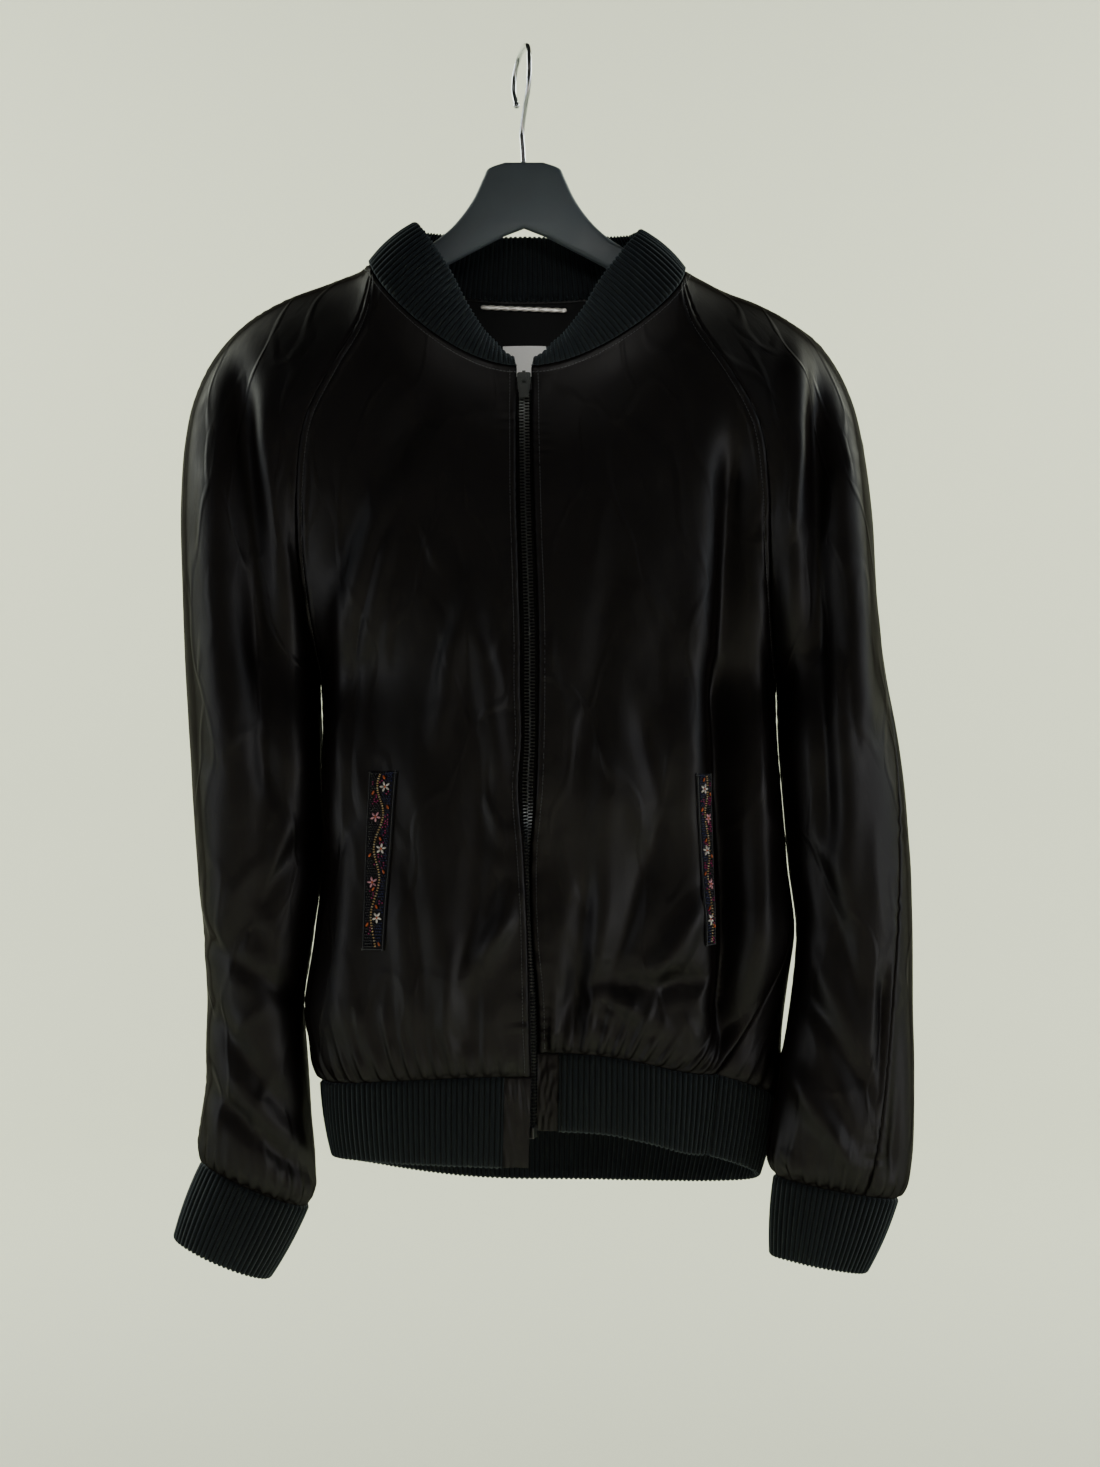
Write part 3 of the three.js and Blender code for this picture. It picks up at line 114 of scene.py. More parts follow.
# front edges beside the zip, hem to neck; reach is how far the chest runs flat from the edge
frontEdge = {
    "r": columns("x y z reach", [
        [6, -68, -748, 80], [5, -77, -705, 88], [4, -79, -652, 86],
        [1.5, -78, -596, 82], [-2.2, -77, -546, 82],
        [0, -76, -508, 82], [-1, -75, -474, 82], [-1, -74.5, -440, 84],
        [-2, -73, -405, 86], [-3, -70, -372, 88],
        [-4, -66, -340, 84], [-4.3, -60, -310, 76], [-4.5, -54, -284, 66],
        [-4.6, -48, -262, 52], [-4.6, -42, -241, 45],
    ]),
    "l": columns("x y z reach", [
        [10.5, -55.5, -733, 76], [9.5, -63, -694, 90], [5.5, -67, -648, 100],
        [4.5, -66, -596, 100], [8.6, -75, -548, 98],
        [10, -76, -510, 96], [10.6, -75, -472, 94], [10.6, -74.5, -440, 92],
        [9.8, -73, -405, 90], [8.5, -70, -372, 90],
        [7.5, -66, -340, 84], [6.8, -60, -310, 76], [6.2, -54, -284, 66],
        [5.9, -48, -262, 52], [5.7, -42, -241, 45],
    ]),
}

# side seams, hem to just under the arm, and how the cloth leaves them
sideSeam = {
    "r": columns("x y z frontIn frontFore backOut backAft backUp", [
        [-144, -26, -757, 6, 40, 20, 45, -8], [-158.9, -22, -712, 4, 48, 8, 50, -4],
        [-152.6, -16, -655, 3, 52, 4, 52, 0],
        [-147, -12, -600, 3, 54, 2, 54, 0], [-147.2, -10, -550, 3, 54, 2, 54, 0],
        [-147.3, -7, -505, 4, 54, 0, 52, 0],
    ]),
    "l": columns("x y z frontIn frontFore backOut backAft backUp", [
        [138, -46, -750, 34, 12, 126, 30, -40], [167, -42, -708, 20, 24, 75, 50, -22],
        [193.2, -32, -655, 6, 36, 24, 58, -6],
        [191.4, -20, -600, 4, 46, 8, 58, 0], [188.3, -12, -550, 3, 52, 3, 56, 0],
        [185.3, -8, -505, 4, 54, 0, 54, 0],
    ]),
}

# centre back, hem to neck
centreBack = columns("x y z reach", [
    [5, 50, -786, 90], [12, 56, -725, 96], [15, 60, -660, 100], [16, 62, -600, 100], [17, 62, -550, 100],
    [17, 61, -505, 100], [17, 60, -466, 98], [17, 58, -430, 96], [16, 56, -395, 94], [14, 53, -358, 92],
    [12, 49, -320, 88], [9, 44, -282, 80], [5, 39, -246, 68], [2, 34, -212, 54], [0, 29, -180, 44],
])

# raglan seams, underarm to neck
raglan = {
    "front": {
      "r": columns("x y z", [
        [-150, -4, -466], [-154, -20, -443], [-159, -34, -410], [-162.5, -45, -370], [-161.5, -54, -325],
        [-156, -56, -283], [-139, -50, -245], [-119, -40, -207], [-110, -30, -168],
    ]),
      "l": columns("x y z", [
        [186, -4, -466], [182, -22, -440], [178.5, -36, -407], [177, -46, -366], [175.5, -53, -328],
        [169, -56, -285], [150, -51, -247], [126, -41, -209], [115.5, -30, -175],
    ]),
    },
    "back": {
      "r": columns("x y z", [
        [-150, -4, -466], [-156, 14, -440], [-161, 27, -405], [-163, 36, -366], [-160, 41, -324],
        [-150, 42, -284], [-133, 38, -244], [-115, 31, -206], [-98, 22, -168],
    ]),
      "l": columns("x y z", [
        [186, -4, -466], [184, 14, -438], [180, 27, -403], [178, 36, -364], [173, 41, -324],
        [162, 42, -284], [143, 38, -246], [121, 31, -208], [102, 22, -170],
    ]),
    },
}

# how the cloth leaves a raglan seam, into the body and out into the sleeve
raglanHandles = {
    "front": columns("bodyIn bodyFore bodyUp sleeveOut sleeveFore sleeveUp", [
        [25, 40, 0, 25, 56, 0], [28, 34, 0, 28, 40, 0], [30, 26, 0, 30, 26, 2],
        [32, 15, -1, 30, 12, 4], [32, 6, -3, 29, 2, 8],
        [32, 0, -6, 26, -4, 11], [33, 0, -10, 20, -8, 12], [30, 3, -16, 13, -10, 11], [6, 18, -20, 3, -9, 7],
    ]),
    "back": columns("bodyIn bodyFore bodyUp sleeveOut sleeveFore sleeveUp", [
        [25, -40, 0, 25, -56, 0], [28, -32, 0, 28, -38, 0], [30, -24, 0, 29, -24, 2],
        [32, -14, -1, 29, -12, 4],
        [32, -7, -3, 28, -3, 8], [32, -3, -6, 25, 4, 11], [30, -2, -10, 20, 8, 12], [26, -3, -14, 12, 9, 10],
        [22, -6, -5, 8, 10, 4],
    ]),
}

# ridge of the sleeve, underarm level to neck
ridge = {
    "r": columns("x y z flat drop", [
        [-250, -1, -405, 77, 0], [-252, 0, -345, 70, 4], [-249, 0, -291, 62, 8], [-241, 0, -254, 52, 12],
        [-226, 0, -225, 42, 14],
        [-204, 0, -202.5, 33, 7], [-176, 0, -186, 26, 4], [-144, 0, -174, 20, 3], [-113, 0, -162.5, 12, 1],
    ]),
    "l": columns("x y z flat drop", [
        [257.5, -2, -400, 77, 0], [255.5, 0, -345, 70, 4], [247.5, 0, -285, 62, 8], [236.5, 0, -248, 52, 12],
        [219, 0, -219.5, 42, 14],
        [197, 0, -202.5, 33, 7], [172, 0, -189, 26, 4], [146, 0, -179, 20, 3], [117.5, 0, -164.5, 12, 1],
    ]),
}

# lower sleeve, cuff seam upwards: inner seam, outer ridge, depths, and the overarm seam's place
lowerSleeve = {
    "r": columns("inX inY inZ outX outY outZ fore aft seam", [
        [-160, -8, -852, -234, -12, -819, 24, 24, 0], [-154, -8, -830, -237, -12, -797, 34, 32, 0],
        [-157, -8, -785, -233, -10, -763, 38, 34, 0],
        [-160, -8, -745, -232.5, -8, -725, 40, 36, 0], [-162, -10, -703, -232.5, -6, -685, 42, 40, 0],
        [-156, -10, -658, -236, -5, -642, 46, 44, 0], [-149.5, -10, -605, -240, -4, -586, 52, 50, 0],
        [-149.5, -8, -552, -244, -3, -525, 56, 54, 0], [-150, -6, -507, -248, -2, -464, 58, 56, 0],
    ]),
    "l": columns("inX inY inZ outX outY outZ fore aft seam", [
        [183, -36, -824, 269, -36, -840, 20, 20, -0.36], [177.5, -35, -806, 279, -35, -816, 30, 27, -0.36],
        [180, -33, -783, 281.5, -33, -780, 34, 30, -0.34], [187, -30, -748, 282, -30, -735, 36, 33, -0.32],
        [195, -24, -700, 282, -25, -688, 40, 36, -0.3], [200, -18, -650, 282, -20, -638, 44, 40, -0.27],
        [195, -14, -603, 281, -14, -588, 48, 46, -0.23], [191, -10, -552, 275.5, -8, -522, 52, 52, -0.17],
        [188, -8, -508, 265, -4, -462, 54, 54, -0.1],
    ]),
}

# large folds, the same as the solid's: a straight stretch each, its height and half width
frontFolds = {
    "r": columns("x1 z1 x2 z2 height width", [
        [-106, -352, -126, -432, 6, 11], [-126, -432, -131, -560, 7, 11], [-124, -600, -128, -700, 4, 12],
        [-98, -382, -113, -445, 4, 8], [-113, -445, -117, -540, 3, 8], [-42, -425, -55, -486, 4, 9],
        [-34, -430, -16, -520, 4, 9], [-70, -560, -52, -700, 4, 12], [2, -618, -30, -664, 5, 10],
        [-85, -300, -112, -352, -4, 12], [-30, -560, -38, -720, -4, 10], [-84, -640, -76, -735, 3, 9],
    ]),
    "l": columns("x1 z1 x2 z2 height width", [
        [150, -330, 147, -480, -14, 12], [147, -480, 147, -620, -24, 13], [147, -620, 146, -735, -24, 12],
        [168, -420, 170, -640, 5, 10], [122, -440, 116, -520, 5, 13], [88, -512, 99, -558, -5, 10],
        [99, -558, 86, -602, -5, 10], [86, -602, 64, -682, -5, 10], [48, -684, 122, -682, -6, 8],
        [62, -692, 92, -711, 5, 8], [97, -671, 116, -645, 6, 9], [43, -635, 39, -682, -8, 9],
        [39, -682, 34, -726, -10, 9], [60, -560, 52, -640, 4, 11], [60, -420, 44, -520, -3, 12],
    ]),
}

backFolds = columns("x1 z1 x2 z2 height width", [
    [-110, -330, -122, -480, 6, 13], [-122, -480, -112, -690, 7, 13], [-86, -400, -92, -640, -6, 12],
    [-40, -470, -52, -720, 5, 14], [12, -400, 20, -560, -4, 14], [20, -560, 6, -730, -5, 13],
    [66, -480, 84, -700, 5, 13], [128, -340, 140, -500, 6, 13], [140, -500, 128, -690, 8, 13],
    [104, -420, 110, -640, -6, 12],
])

sleeveFolds = {
    "r": columns("x1 z1 x2 z2 height width", [
        [-203, -276, -192, -380, -9, 11], [-192, -380, -182, -530, -9, 11], [-182, -530, -190, -640, -5, 12],
        [-184, -300, -172, -400, 5, 10], [-172, -400, -164, -520, 5, 10], [-220, -330, -216, -500, 4, 12],
        [-168, -600, -206, -655, -5, 10], [-172, -690, -218, -660, -5, 9], [-214, -720, -176, -770, -5, 9],
        [-206, -780, -176, -808, -6, 8], [-222, -560, -216, -640, 4, 12],
    ]),
    "l": columns("x1 z1 x2 z2 height width", [
        [197, -256, 193, -350, 6, 10], [193, -350, 196, -415, 4, 10], [212, -292, 210, -440, -9, 9],
        [210, -440, 216, -560, -7, 10],
        [234, -330, 240, -480, 5, 11], [214, -610, 236, -680, -5, 9], [206, -700, 232, -740, -5, 9],
        [258, -700, 262, -800, -6, 8], [202, -760, 226, -800, 5, 8], [226, -480, 228, -600, 4, 12],
    ]),
}


# surfaces of the cloth
def leaving(handles, sign, names):
    inwards, fore, up = (handles[n] for n in names)
    return {"hx": sign * inwards, "hy": -fore, "hz": up}


def bodyEdges(side, face):
    # the body panel's side edge with its handles: below the underarm, and along the raglan seam
    out = outward[side]
    seam, handles = raglan[face][side], raglanHandles[face]
    low = sideSeam[side]
    if face == "front":
        handle = {"hx": -out * low["frontIn"], "hy": -low["frontFore"], "hz": 0 * low["x"]}
    else:
        handle = {"hx": out * low["backOut"], "hy": low["backAft"], "hz": low["backUp"]}
    upper = {**seam, **leaving(handles, -out, ("bodyIn", "bodyFore", "bodyUp"))}
    lower = {n: np.append({**low, **handle}[n], upper[n][0]) for n in upper}
    lower["hz"][-1] = 0
    return lower, upper


bodyEdgeRows = {(s, f): bodyEdges(s, f) for s in "rl" for f in ("front", "back")}


def bodySide(side, face, level):
    lower, upper = (along(t, at) for t, at in zip(
        bodyEdgeRows[side, face], (np.minimum(level, underarm), np.maximum(level - underarm, 0))))
    row = {n: np.where(level <= underarm, lower[n], upper[n]) for n in upper}
    return xyz(row), np.stack([row["hx"], row["hy"], row["hz"]], -1)


def frontCloth(side):
    def cloth(level, across):
        edge = along(frontEdge[side], level)
        at, leave = bodySide(side, "front", level)
        return bezier(xyz(edge), vec(outward[side] * edge["reach"], -3, 0), leave, at, across)
    return cloth


def backCloth(level, across):
    centre = along(centreBack, level)
    middle = xyz(centre)
    halves = []
    for side in "rl":
        at, leave = bodySide(side, "back", level)
        towards = vec(outward[side] * centre["reach"], 1, 0)
        halves.append(bezier(at, leave, towards, middle, 1 - np.abs(2 * across - 1)))
    return np.where((across < 0.5)[..., None], halves[0], halves[1])


def sleeveCloth(side):
    out = outward[side]
    flat = 4 / 3  # a handle of this length makes half an ellipse
    low, top = lowerSleeve[side], {n: v[0] for n, v in ridge[side].items()}
    under = {n: v[0] for n, v in raglan["front"][side].items()}
    shoulder = {n: v[0] for n, v in raglanHandles["front"].items()}
    lower = {n: np.append(low[n], end) for n, end in (
        ("inX", under["x"]), ("inY", under["y"]), ("inZ", under["z"]),
        ("outX", top["x"]), ("outY", top["y"]), ("outZ", top["z"]),
        ("fore", shoulder["sleeveFore"] / flat), ("aft", shoulder["sleeveFore"] / flat), ("seam", 0))}
    lower["outFore"] = np.append(low["fore"], top["flat"] / flat)
    lower["outAft"] = np.append(low["aft"], top["flat"] / flat)
    lower["lean"] = np.append(0 * low["fore"], shoulder["sleeveOut"])

    def overarm(level):
        return np.where(level > cuffRows, 0, along(lower, np.minimum(level, cuffRows))["seam"])

    def cloth(level, around):
        row = along(lower, np.minimum(level, cuffRows))
        k = np.maximum(level - cuffRows, 0)
        crest = along(ridge[side], k)
        isLow = level <= cuffRows
        halves = []
        for face, fore, inName, outName in (("front", -1, "fore", "outFore"), ("back", 1, "aft", "outAft")):
            seam, handle = along(raglan[face][side], k), along(raglanHandles[face], k)
            inner = np.where(isLow[..., None], xyz(row, "inX inY inZ"), xyz(seam))
            outer = np.where(isLow[..., None], xyz(row, "outX outY outZ"), xyz(crest))
            leaveIn = np.where(isLow[..., None], vec(out * row["lean"], fore * flat * row[inName], 0),
                               vec(out * handle["sleeveOut"], -handle["sleeveFore"], handle["sleeveUp"]))
            leaveOut = np.where(isLow[..., None], vec(0, fore * flat * row[outName], 0),
                                vec(0, fore * crest["flat"], -crest["drop"]))
            halves.append(bezier(inner, leaveIn, leaveOut, outer, 1 - np.abs(around)))
        return np.where((around < 0)[..., None], halves[0], halves[1])

    return cloth, overarm


def sleevePiece(side, part):
    cloth, overarm = sleeveCloth(side)
    if part == "front":
        return lambda level, across: cloth(level, mix(-1, overarm(level), across))
    return lambda level, across: cloth(level, mix(overarm(level), 1, across))


baseCloth = {"back": backCloth}
for side in "rl":
    baseCloth["front_" + side] = frontCloth(side)
    for part in ("front", "back"):
        baseCloth[f"sleeve_{part}_{side}"] = sleevePiece(side, part)


def turnOf(name):
    return -1 if name == "back" or name.endswith("_r") else 1


def gridNormals(points, turn):
    return unit(np.cross(np.gradient(points, axis=1), np.gradient(points, axis=0)) * turn)


# folds
foldRunOut = 3  # a fold dies out this many widths past its ends


def foldHeight(folds, x, z):
    # folds that meet end to end make one ridge or valley, no higher where they join
    ridges, valleys = np.zeros_like(x), np.zeros_like(x)
    for x1, z1, x2, z2, rise, width in zip(*(folds[n] for n in "x1 z1 x2 z2 height width".split())):
        length = math.hypot(x2 - x1, z2 - z1)
        runX, runZ = (x2 - x1) / length, (z2 - z1) / length
        run = (x - x1) * runX + (z - z1) * runZ
        past = (run - np.clip(run, 0, length)) / foldRunOut
        height = rise * np.exp(-((np.hypot((x - x1) * runZ - (z - z1) * runX, past) / width) ** 2))
        ridges, valleys = np.maximum(ridges, height), np.minimum(valleys, height)
    return ridges + valleys


def creaseHeight(creases, x, z):
    # thin creases that bow, die out at both ends, and are steeper on one side
    height = np.zeros_like(x)
    for i, (x1, z1, x2, z2, bow, rise, width) in enumerate(creases):
        runX, runZ = x2 - x1, z2 - z1
        length = math.hypot(runX, runZ)
        t = ((x - x1) * runX + (z - z1) * runZ) / length**2
        inside = np.clip(t, 0, 1)
        side = ((x - x1) * runZ - (z - z1) * runX) / length - bow * 4 * inside * (1 - inside)
        lopsided = np.where((side > 0) == (i % 2 == 0), 0.7, 1.35)
        fading = smooth(t / 0.35) * smooth((1 - t) / 0.35)
        height += rise * np.exp(-((side / (width * lopsided)) ** 2)) * fading
    return height


def randomCreases(seed, count, xRange, zRange, lengths, rises, widths, lean=0.35):
    rng = np.random.default_rng(seed)
    creases = []
    for _ in range(count):
        x, z = rng.uniform(*xRange), rng.uniform(*zRange)
        length, angle = rng.uniform(*lengths), rng.normal(0, lean)
        dx, dz = math.sin(angle) * length / 2, math.cos(angle) * length / 2
        creases.append((x - dx, z - dz, x + dx, z + dz, rng.normal(0, length / 14),
                        rng.uniform(*rises) * rng.choice([-1, 1]), rng.uniform(*widths)))
    return creases


def wander(seed, u, v, size, count=18):
    # soft seeded unevenness: waves of many directions, about one size in millimetres
    rng = np.random.default_rng(seed)
    total = np.zeros(np.broadcast(u, v).shape)
    for _ in range(count):
        angle = rng.uniform(0, 2 * math.pi)
        length = size * rng.uniform(0.6, 1.7)
        phase = rng.uniform(0, 2 * math.pi)
        k = 2 * math.pi / length
        total += np.cos(k * (u * math.cos(angle) + v * math.sin(angle)) + phase)
    return total / math.sqrt(count / 2)


# meshes
def clothMesh(name, points, turn, uv, wrapRows=False, wrapAcross=False, caps=False):
    rows, count = points.shape[:2]
    index = np.arange(rows * count).reshape(rows, count)
    if wrapRows:
        index = np.vstack([index, index[:1]])
    if wrapAcross:
        index = np.hstack([index, index[:, :1]])
    corners = [(slice(None, -1), slice(None, -1)), (slice(None, -1), slice(1, None)),
               (slice(1, None), slice(1, None)), (slice(1, None), slice(None, -1))]
    if turn < 0:
        corners.reverse()
    quads = np.stack([index[c] for c in corners], -1).reshape(-1, 4).tolist()
    uvs = np.stack([uv[:index.shape[0], :index.shape[1]][c] for c in corners], 2).reshape(-1, 2)
    if caps:
        first, last = index[:-1, 0].tolist(), index[:-1, -1].tolist()
        quads += [first[::-1], last] if turn > 0 else [first, last[::-1]]
        uvs = np.vstack([uvs, np.zeros((len(first) + len(last), 2))])
    mesh = bpy.data.meshes.new(name)
    mesh.from_pydata((points.reshape(-1, 3) * mm).tolist(), [], quads)
    layer = mesh.uv_layers.new(name="cloth")
    layer.data.foreach_set("uv", (uvs * mm).astype(np.float32).ravel())
    mesh.polygons.foreach_set("use_smooth", [True] * len(mesh.polygons))
    mesh.update()
    piece = bpy.data.objects.new(name, mesh)
    bpy.context.scene.collection.objects.link(piece)
    return piece


def lengths(points, axis):
    steps = np.linalg.norm(np.diff(points, axis=axis), axis=-1)
    pad = [(0, 0), (0, 0)]
    pad[axis] = (1, 0)
    return np.cumsum(np.pad(steps, pad), axis=axis)


def applied(piece):
    # the modifiers' result as a plain mesh
    view = bpy.context.evaluated_depsgraph_get()
    made = bpy.data.meshes.new_from_object(piece.evaluated_get(view))
    piece.modifiers.clear()
    old = piece.data
    piece.data = made
    made.name = piece.name
    if isinstance(old, bpy.types.Mesh):
        bpy.data.meshes.remove(old)
    return piece


def settle(piece, body, material, slotName, *nodes):
    piece.data.materials.clear()
    piece.data.materials.append(material)
    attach(piece, body)
    if nodes:
        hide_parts(*nodes)
    return piece


# satin panels
satinSheet = {"thickness": 0.9, "grooveDepth": 0.7, "grooveWidth": 2.2, "wrinkle": 0.12, "wrinkleSize": 55}
hemGathers = {"pitch": 10.5, "rise": 1.5, "reach": 26, "puff": 2.6, "puffHeight": 13}
cuffGathers = {"pitch": 8.5, "rise": 1.25, "reach": 20, "puff": 2.2, "puffHeight": 10}
seamPucker = {"pitch": 8, "rise": 0.28, "reach": 7}
placketPucker = {"pitch": 7.5, "rise": 1.3, "reach": 11}
topBands = {"collar": 0.55, "raglan": 0.5, "zip": 0.4}
overarmPucker = {"pitch": 11, "rise": 0.9, "reach": 11}

handCreases = {
    "front_r": [
        (-72, -352, -54, -396, 3, 1.4, 4), (-54, -356, -42, -402, -3, -1.2, 4),
        (-44, -424, -58, -482, 4, 1.8, 5),
        (-36, -428, -14, -492, -4, 1.6, 5), (-30, -540, -8, -588, 3, 1.6, 4), (0, -630, -32, -668, 2, 2.2, 5),
        (-14, -596, -22, -650, 3, -1.6, 6), (-62, -700, -40, -738, 2, 1.5, 5),
        (-100, -690, -88, -742, 2, 1.6, 5),
        (-64, -520, -58, -640, 5, -1.4, 7), (-46, -640, -54, -732, 3, 1.5, 6),
        (-86, -388, -96, -470, 4, 1.5, 5),
        (-122, -470, -124, -560, 3, 1.3, 5), (-20, -690, -16, -740, 2, 1.3, 5),
        (-118, -690, -104, -744, 3, 1.8, 5),
    ],
    "front_l": [
        (52, -505, 68, -540, 3, 1.6, 5), (68, -540, 92, -604, -5, 1.8, 5), (92, -604, 60, -684, -6, 1.8, 6),
        (44, -690, 74, -712, 2, 1.6, 4), (104, -676, 122, -648, 2, 1.7, 5), (50, -682, 122, -686, 3, -1.6, 5),
        (26, -560, 40, -640, 3, 1.4, 6), (20, -430, 34, -500, 4, 1.2, 5), (60, -330, 50, -400, 3, 1.1, 6),
        (112, -700, 130, -728, 2, 1.7, 5), (36, -700, 56, -730, -2, 1.4, 5), (84, -706, 96, -734, 1, 1.4, 4),
        (166, -500, 170, -560, 2, 1.4, 5), (176, -556, 190, -590, 2, 1.6, 5),
        (104, -420, 112, -520, 4, 1.2, 7),
        (30, -640, 42, -690, 3, -1.4, 5), (130, -610, 138, -700, 2, 1.5, 5),
        (164, -640, 156, -730, 3, 1.6, 6),
    ],
    "back": [
        (-60, -330, -84, -420, 5, 1.6, 7), (-20, -300, -8, -420, 5, 1.2, 8), (50, -310, 66, -430, -5, 1.4, 7),
        (100, -350, 84, -450, 4, 1.6, 7), (-90, -520, -70, -640, 5, 1.7, 7),
        (-30, -560, -44, -700, -5, 1.6, 7),
        (30, -540, 48, -680, 5, 1.7, 7), (96, -520, 116, -640, -5, 1.6, 7), (-70, -700, -58, -770, 2, 1.7, 5),
        (0, -690, 12, -770, 2, 1.6, 5), (70, -700, 58, -765, -2, 1.7, 5), (124, -690, 112, -750, 2, 1.7, 5),
        (-116, -640, -104, -720, 2, 1.7, 5), (-10, -450, -30, -520, 3, 1.4, 6),
        (60, -600, 34, -650, 3, 1.4, 5),
    ],
    "sleeve_front_r": [
        (-228, -300, -224, -420, 3, 1.4, 7), (-190, -440, -180, -520, 4, 1.5, 6),
        (-176, -590, -214, -630, 3, 1.7, 5),
        (-170, -660, -200, -628, 2, 1.6, 5), (-226, -600, -222, -700, 3, 1.3, 6),
        (-178, -700, -212, -728, 3, 1.7, 5),
        (-172, -742, -196, -790, 3, 1.7, 5), (-214, -760, -222, -806, 2, 1.5, 5),
        (-196, -780, -180, -818, 2, 1.6, 4),
        (-206, -480, -200, -580, 4, 1.1, 8), (-164, -560, -180, -610, 2, 1.4, 5),
    ],
    "sleeve_front_l": [
        (200, -280, 196, -380, 3, 1.5, 6), (228, -300, 234, -420, 4, 1.3, 7),
        (206, -480, 214, -600, 4, 1.4, 6),
        (202, -630, 224, -700, 4, 1.6, 5), (198, -700, 222, -740, 2, 1.7, 5),
        (196, -742, 214, -792, 3, 1.7, 5),
        (222, -744, 244, -796, 3, 1.5, 5), (250, -560, 258, -660, 3, 1.3, 6),
        (184, -800, 200, -822, 1, 1.6, 4),
        (236, -640, 250, -720, 3, 1.4, 5), (216, -780, 238, -818, 2, 1.6, 4),
    ],
    "sleeve_back_r": [
        (-220, -320, -214, -440, 4, 1.5, 7), (-180, -420, -190, -520, 4, 1.5, 6),
        (-174, -600, -212, -650, 3, 1.7, 5),
        (-170, -700, -210, -730, 3, 1.7, 5), (-180, -750, -212, -800, 3, 1.6, 5),
        (-226, -560, -220, -660, 3, 1.4, 6),
    ],
    "sleeve_back_l": [
        (226, -320, 222, -440, 4, 1.5, 7), (200, -420, 206, -520, 4, 1.5, 6),
        (204, -600, 240, -660, 3, 1.7, 5),
        (200, -700, 236, -740, 3, 1.7, 5), (196, -750, 232, -806, 3, 1.6, 5),
        (256, -560, 262, -680, 3, 1.4, 6),
    ],
}
minorCreases = {
    "front_r": dict(seed=11, count=26, xRange=(-130, -6), zRange=(-740, -320)),
    "front_l": dict(seed=12, count=30, xRange=(14, 176), zRange=(-735, -320)),
    "back": dict(seed=13, count=44, xRange=(-130, 150), zRange=(-770, -290)),
    "sleeve_front_r": dict(seed=14, count=18, xRange=(-240, -165), zRange=(-810, -300)),
    "sleeve_front_l": dict(seed=15, count=18, xRange=(190, 270), zRange=(-810, -300)),
    "sleeve_back_r": dict(seed=16, count=18, xRange=(-240, -165), zRange=(-810, -300)),
    "sleeve_back_l": dict(seed=17, count=18, xRange=(200, 275), zRange=(-810, -300)),
}
bigFolds = {"front_r": frontFolds["r"], "front_l": frontFolds["l"], "back": backFolds}
for side in "rl":
    for part in ("front", "back"):
        bigFolds[f"sleeve_{part}_{side}"] = sleeveFolds[side]


def gathered(sizes, seed, place, height):
    # soft pleats that start at a seam: uneven pitch, and each dies out at its own height
    wobble = wander(seed, place, 0 * place, 60) * 0.9
    reach = sizes["reach"] * (1 + 0.38 * wander(seed + 1, place, 0 * place, 30))
    reach = np.maximum(reach, 0.35 * sizes["reach"])
    wave = np.cos(2 * np.pi * place / sizes["pitch"] + wobble)
    wave = wave + 0.35 * np.cos(4 * np.pi * place / sizes["pitch"] + 1.7 * wobble)
    near = smooth(height / 3.5)
    ripple = sizes["rise"] * wave * near * np.exp(-((height / reach) ** 1.6))
    swell = np.exp(-((height - sizes["puffHeight"]) / sizes["puffHeight"]) ** 2)
    puff = sizes["puff"] * smooth(height / 5) * swell
    return ripple + puff


def puckered(sizes, seed, place, away):
    wobble = wander(seed, place, 0 * place, 50)
    strength = smooth(0.55 + 0.5 * wander(seed + 1, place, 0 * place, 45))
    wave = np.cos(2 * np.pi * place / sizes["pitch"] + 1.1 * wobble)
    return sizes["rise"] * wave * strength * np.exp(-((away / sizes["reach"]) ** 2)) * smooth(away / 1.5)


def eased(points, levels, corner, across):
    # the cloth runs on smoothly past the underarm, where the cut's tables change
    kernel = np.exp(-((np.arange(-16, 17) / 7) ** 2))
    kernel /= kernel.sum()
    padded = np.pad(points, ((16, 16), (0, 0), (0, 0)), mode="edge")
    soft = sum(weight * padded[i:i + len(points)] for i, weight in enumerate(kernel))
    rows = np.arange(len(levels)) - np.interp(corner, levels, np.arange(len(levels)))
    window = np.exp(-((rows / 14) ** 2))[:, None] * smooth(across / 0.2) * smooth((1 - across) / 0.2)
    return mix(points, soft, window[..., None])


panels = {}


